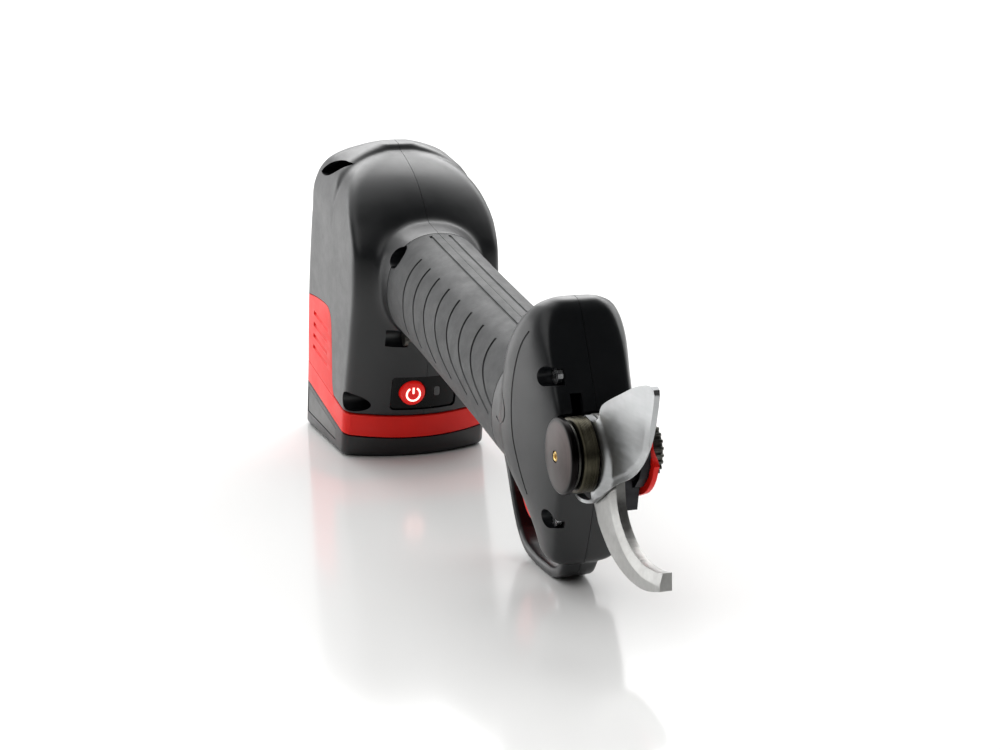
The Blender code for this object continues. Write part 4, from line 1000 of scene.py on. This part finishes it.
def blade_sink(x, z, edge=np.array(rounded(CUTTING_EDGE, 8))):
    """How far the blade's right face lies below its boss, in millimetres, at a place about the pivot."""
    distance = nearest(edge, x, z)
    scoop = eased(11.3, 14.8, math.hypot(x, z)) * (1.65 - 1.15 * eased(3.0, 15.0, distance))
    hone = 0.7 * (1 - eased(0.0, 2.4, distance))
    blunt = 1 - 0.72 * eased(12.0, 25.0, z)
    return float(min(1.9, (scoop + hone) * blunt) * eased(-3.0, 5.0, x))


def hook_sink(x, z, edge=np.array(rounded(HOOK_EDGE, 8))):
    """How far the hook's right face falls away in a chamfer along its inner edge."""
    return float(0.9 * max(0.0, 1 - nearest(edge, x, z) / 3.0))


def ground_plate(outlines, span, sink):
    """A flat plate, finely gridded, whose right face is sunk by sink(x, z)."""
    bm = bmesh.new()
    bm.from_mesh(prism(outlines, *span))
    step = 0.7 * MM
    low = Vector(min(v.co[i] for v in bm.verts) for i in range(3))
    high = Vector(max(v.co[i] for v in bm.verts) for i in range(3))
    for axis in (0, 2):
        normal = Vector((1.0 if axis == 0 else 0.0, 0.0, 1.0 if axis == 2 else 0.0))
        place = low[axis] + step / 2
        while place < high[axis]:
            bmesh.ops.bisect_plane(bm, geom=bm.verts[:] + bm.edges[:] + bm.faces[:], dist=1e-7,
                                   plane_co=normal * place, plane_no=normal)
            place += step
    for vert in bm.verts:
        if vert.co.y < sum(span) / 2:
            vert.co.y += sink((vert.co.x - PIVOT_X) / MM, (vert.co.z - PIVOT_Z) / MM) * MM
    mesh = bpy.data.meshes.new("plate")
    bm.to_mesh(mesh)
    bm.free()
    return mesh


def slot_centre(turn):
    """Where the drive pin lies in the blade's own axes, about the pivot, once the blade has turned."""
    x = PIN_REACH + NUT_TRAVEL * turn / BLADE_TURN
    z = DRIVE_Z - PIVOT_Z
    return Vector((x * math.cos(turn) - z * math.sin(turn), x * math.sin(turn) + z * math.cos(turn)))


def round_end(centre, normal, radius):
    """Points of a half circle about centre, from the side of normal round to the other side."""
    ahead = Vector((normal.y, -normal.x))
    angles = [math.radians(angle) for angle in (20, 40, 60, 80, 100, 120, 140, 160)]
    return [centre + (normal * math.cos(a) + ahead * math.sin(a)) * radius * 1.005 for a in angles]


def blade_tail():
    """Outline of the tail and of the cam slot that the drive pin runs in, about the pivot, in metres."""
    steps = 14
    path = [slot_centre(BLADE_TURN * i / steps) for i in range(steps + 1)]
    normals = []
    for i in range(steps + 1):
        along = (path[min(steps, i + 1)] - path[max(0, i - 1)]).normalized()
        normals.append(Vector((-along.y, along.x)))
    inner = [point + normal * SLOT_HALF_WIDTH for point, normal in zip(path, normals)]
    outer = [point - normal * SLOT_HALF_WIDTH for point, normal in zip(path, normals)]
    slot = inner + round_end(path[-1], normals[-1], SLOT_HALF_WIDTH) + outer[::-1]
    slot += round_end(path[0], -normals[0], SLOT_HALF_WIDTH)
    rim = [point * (1 + TAIL_EDGE / point.length) for point in reversed(path)]
    return rim + round_end(path[0], -normals[0], TAIL_EDGE), slot


def make_blade():
    """Hollow-ground blade: the CAD's flat outline with its right face sunk towards the cutting edge."""
    tail, slot = blade_tail()
    front = millimetres(rounded(BLADE_BACK, 6) + [(36.6, 33.7)] + rounded(CUTTING_EDGE, 6))
    heel = millimetres([(-13.4, -4.6), (-10.9, -2.6), (-10.4, 2.6), (-7.8, 7.0)])
    outlines = [front + [tuple(point) for point in tail] + heel, [tuple(point) for point in slot]]
    outlines = [[(PIVOT_X + x, PIVOT_Z + z) for x, z in outline] for outline in outlines]
    bore = arc((PIVOT_X, PIVOT_Z), 6.8 * MM, 355, 0, 72)
    plate = ground_plate([*outlines, bore], BLADE_Y, blade_sink)
    show("cutting_blade_ground", plate, BLADE, "blade", "cutting_blade", sharp=30)


def make_hook():
    outer = rounded([(6.0, -18.2), (13.3, -22.0), (20.5, -23.8), (29.4, -24.0), (38.9, -22.0), (47.5, -17.9)], 8)
    inner = rounded(HOOK_EDGE + [(12.2, 2.0), (9.4, 7.2), (4.6, 10.4), (-1.0, 11.0), (-5.5, 9.2), (-8.4, 5.2)], 8)
    rest = [(-8.4, 0.4), (-6.8, -2.8), (-5.0, -4.8), (-3.2, -6.4), (-3.0, -11.2), (2.6, -14.6)]
    bore = arc((PIVOT_X, PIVOT_Z), BORE_RADIUS, 355, 0, 72)
    hole = arc(about_pivot([(2.2, -11.6)])[0], 1.8 * MM, 350, 0, 36)
    plate = ground_plate([about_pivot(outer + inner + rest), bore, hole], HOOK_Y, hook_sink)
    plate = solved(plate, modifiers=[bevelled(0.25 * MM, 2, 60)])
    show("hook_blade", plate, HOOK, "housing", "counter_blade", sharp=30)


# ---------------------------------------------------------------- pivot stack

def make_pivot():
    centre = (PIVOT_X, PIVOT_Z)
    dome = []
    for i in range(10):
        share = i / 9
        radius = CAP_RADIUS - 0.75 * MM
        dome.append((radius * (1 - share) + 1.75 * MM * share, CAP_TOP + 0.95 * MM * (1 - share) ** 1.6))
    corner = [(CAP_RADIUS - 0.75 * MM + 0.75 * MM * math.sin(a), CAP_TOP + 0.95 * MM + 0.75 * MM * (1 - math.cos(a)))
              for a in (math.radians(90 - 18 * i) for i in range(5))]
    shank = [(0.0, SHANK_END), (SHANK_RADIUS - 0.5 * MM, SHANK_END), (SHANK_RADIUS, SHANK_END - 0.5 * MM),
             (SHANK_RADIUS, CAP_BASE), (CAP_RADIUS - 0.5 * MM, CAP_BASE), (CAP_RADIUS, CAP_BASE - 0.4 * MM)]
    recess = [(1.7 * MM, CAP_TOP + 0.15 * MM), (1.7 * MM, CAP_TOP + 1.0 * MM), (0.0, CAP_TOP + 1.0 * MM)]
    show("bolt_cap", lathe(shank + corner + dome + recess, "y", centre, 96), CAP_METAL, "housing", "pivot_bolt",
         sharp=30)
    plug = [(0.0, CAP_TOP + 0.7 * MM), (0.55 * MM, CAP_TOP + 0.7 * MM), (0.62 * MM, CAP_TOP + 0.15 * MM),
            (0.8 * MM, CAP_TOP + 0.02 * MM), (1.2 * MM, CAP_TOP), (1.4 * MM, CAP_TOP + 0.15 * MM),
            (1.4 * MM, CAP_TOP + 0.9 * MM), (0.0, CAP_TOP + 0.9 * MM)]
    show("bolt_plug", lathe(plug, "y", centre, 48), BRASS, "housing", "pivot_bolt_plug")
    low, high, radius = WASHER
    edge = 0.15 * MM
    ring = [(BORE_RADIUS, high), (BORE_RADIUS, low), (radius - edge, low), (radius, low + edge),
            (radius, high - edge), (radius - edge, high)]
    # painted shade: the washer takes the dark steel so it reads as the deep shaded gap between cap and hub
    show("bolt_washer", lathe(ring, "y", centre, 96), NUT_STEEL_AND_PAINTED_SHADE, "housing", "pivot_washer", sharp=30)
    low, high, radius = HUB
    bands = [(BORE_RADIUS, high), (BORE_RADIUS, low), (radius - 0.9 * MM, low), (radius - 0.45 * MM, low + 0.1 * MM),
             (radius - 0.1 * MM, low + 0.5 * MM)]
    lines = 9
    for i in range(lines):
        at = low + 0.9 * MM + (high - low - 1.4 * MM) * i / (lines - 1)
        bands += [(radius - 0.02 * MM, at - 0.12 * MM), (radius - 0.14 * MM, at), (radius - 0.02 * MM, at + 0.12 * MM)]
    bands += [(radius - 0.3 * MM, high)]

    def six_sided(angle):
        return 1.0 - 0.028 * (1 - math.cos(6 * (angle - 0.35))) / 2

    show("hub_spacer", lathe(bands, "y", centre, 144, six_sided), HUB_METAL, "blade", "pivot_hub", sharp=50)
    lock = arc(centre, 12.6 * MM, -62, 4, 10) + arc(centre, 9.0 * MM, 22, 190, 18)
    lock = rounded(lock + about_pivot([(-8.8, -9.0), (-6.4, -13.6), (0.0, -14.4)]), 3, True)
    bore = arc(centre, BORE_RADIUS, 355, 0, 72)
    show("lock_plate_red", solved(prism([lock, bore], *LOCK_Y), modifiers=[bevelled(0.25 * MM, 2, 40)]), RED,
         "housing", "lock_plate")
    teeth = 24
    rim = []
    for i in range(teeth):
        for share, radius in ((0.0, 7.25), (0.18, 7.3), (0.34, 7.95), (0.5, 8.0), (0.66, 7.95), (0.82, 7.3)):
            angle = 2 * math.pi * (i + share) / teeth
            rim.append((centre[0] + radius * MM * math.cos(angle), centre[1] + radius * MM * math.sin(angle)))
    show("toothed_nut", solved(prism([rim, bore], *NUT_Y), modifiers=[bevelled(0.22 * MM, 2, 60)]), NUT_STEEL_AND_PAINTED_SHADE,
         "housing", "pivot_nut", sharp=30)


def make_trigger_skin():
    outline = rounded([(125.4, 60.5), (126.2, 56.0), (130.4, 52.0), (131.6, 47.5), (130.6, 43.0), (131.0, 39.6),
                       (132.6, 37.2), (130.8, 36.3), (126.5, 37.2), (121.4, 41.0), (117.2, 46.5), (115.8, 51.0),
                       (116.6, 56.5), (117.2, 60.5), (121.0, 62.2)], 6, True)
    bore = arc((TRIGGER_X, TRIGGER_Z), 1.8 * MM, 350, 0, 36)
    plate = prism([millimetres(outline), bore], -4.0 * MM, 4.0 * MM)
    plate = solved(plate, modifiers=[bevelled(1.0 * MM, 4, 50)])
    show("trigger_lever", plate, RED, "trigger", "trigger")


def dress_frame():
    """Materials for the CAD nodes that are shown as they are."""
    finishes = {"steel": ZINC, "aluminium": ALLOY, "board": BOARD, "cell": CELL, "case": CASE, "brass": BRASS,
                "red": RED, "blade": BLADE, "hub": HUB_METAL, "nut": NUT_STEEL_AND_PAINTED_SHADE, "bolt": CAP_METAL, "grip": GRIP,
                "housing": HOUSING, "panel": PANEL, "lens": LENS, "base": BASE}
    slots = {row["node"]: row["material_slot"] for row in frame["record"]["subparts"]}
    for name, node in NODES.items():
        node.data.materials.clear()
        # painted shade: screws 1 to 4 sit in deep shaded pockets and take the dark steel instead of their bright zinc
        painted_shade_screw = name.startswith("housing_screw") and name[-1] in "1234"
        node.data.materials.append(NUT_STEEL_AND_PAINTED_SHADE if painted_shade_screw else finishes[slots[name]])


# ---------------------------------------------------------------- stage

def make_stage():
    size = 2.6
    def build(bm):
        rows = []
        for x, z in [(-size, 0.0), (size, 0.0)]:
            rows.append([bm.verts.new((x, y, z)) for y in (-size, size)])
        bm.faces.new((rows[0][0], rows[1][0], rows[1][1], rows[0][1]))
    mesh = mesh_from(build)
    floor = bpy.data.objects.new("floor", mesh)
    bpy.context.scene.collection.objects.link(floor)
    material = bpy.data.materials.new("floor_gloss")
    tree, shader = node_tree(material)
    shade = noise(tree, 3.0)
    tree.links.new(mixed_colour(tree, shade, (0.91, 0.91, 0.90), (0.93, 0.93, 0.92)), shader.inputs["Base Color"])
    shader.inputs["Roughness"].default_value = 0.13
    shader.inputs["Specular IOR Level"].default_value = 0.25
    mesh.materials.append(material)


def area_light(name, place, target, size, power, colour=(1.0, 1.0, 1.0)):
    light = bpy.data.lights.new(name, "AREA")
    light.shape = "RECTANGLE"
    light.size, light.size_y = size
    light.energy = power
    light.color = colour
    item = bpy.data.objects.new(name, light)
    bpy.context.scene.collection.objects.link(item)
    item.location = place
    item.rotation_euler = (Vector(target) - Vector(place)).to_track_quat("-Z", "Y").to_euler()
    return item


def make_world():
    """A studio that is white behind the object and dark on the side the front faces look at."""
    world = bpy.data.worlds.new("studio")
    bpy.context.scene.world = world
    world.use_nodes = True
    tree = world.node_tree
    direction = tree.nodes.new("ShaderNodeSeparateXYZ")
    tree.links.new(tree.nodes.new("ShaderNodeTexCoord").outputs["Generated"], direction.inputs["Vector"])
    level = ramp(tree, direction.outputs["X"], -0.75, 0.1, 1.12, 0.035)
    background = tree.nodes["Background"]
    background.inputs["Color"].default_value = (1.0, 1.0, 1.0, 1.0)
    tree.links.new(level, background.inputs["Strength"])


def make_lights_and_camera():
    make_world()
    bpy.context.scene.view_settings.view_transform = "Standard"
    middle = (0.0, 0.0, 0.06)
    area_light("top_soft", (-0.75, -0.1, 1.25), middle, (2.4, 2.0), 11)
    area_light("far_soft", (-2.0, 0.7, 1.5), (-2.0, 0.701, 0.0), (2.6, 2.6), 62)
    area_light("left_soft", (-0.72, -0.8, 0.24), middle, (0.9, 0.5), 3.0)
    area_light("right_soft", (-0.3, 1.1, 0.6), middle, (0.9, 0.7), 4)
    area_light("front_fill", (0.5, -0.8, 0.95), middle, (0.9, 0.9), 2.6)
    camera = bpy.data.cameras.new("camera")
    camera.lens = 64.8
    camera.sensor_width = 36.0
    camera.clip_start = 0.01
    item = bpy.data.objects.new("camera", camera)
    bpy.context.scene.collection.objects.link(item)
    eye = Vector((0.6266, -0.1904, 0.1731)) + TOOL.translation
    ahead = Vector((-0.9193, 0.33, -0.2147))
    item.location = eye
    item.rotation_euler = ahead.to_track_quat("-Z", "Y").to_euler()
    bpy.context.scene.camera = item


make_housings()
make_grip_skins()
make_pack()
make_release_pads()
make_panel()
make_blade()
make_hook()
make_pivot()
make_trigger_skin()
dress_frame()
make_stage()
make_lights_and_camera()
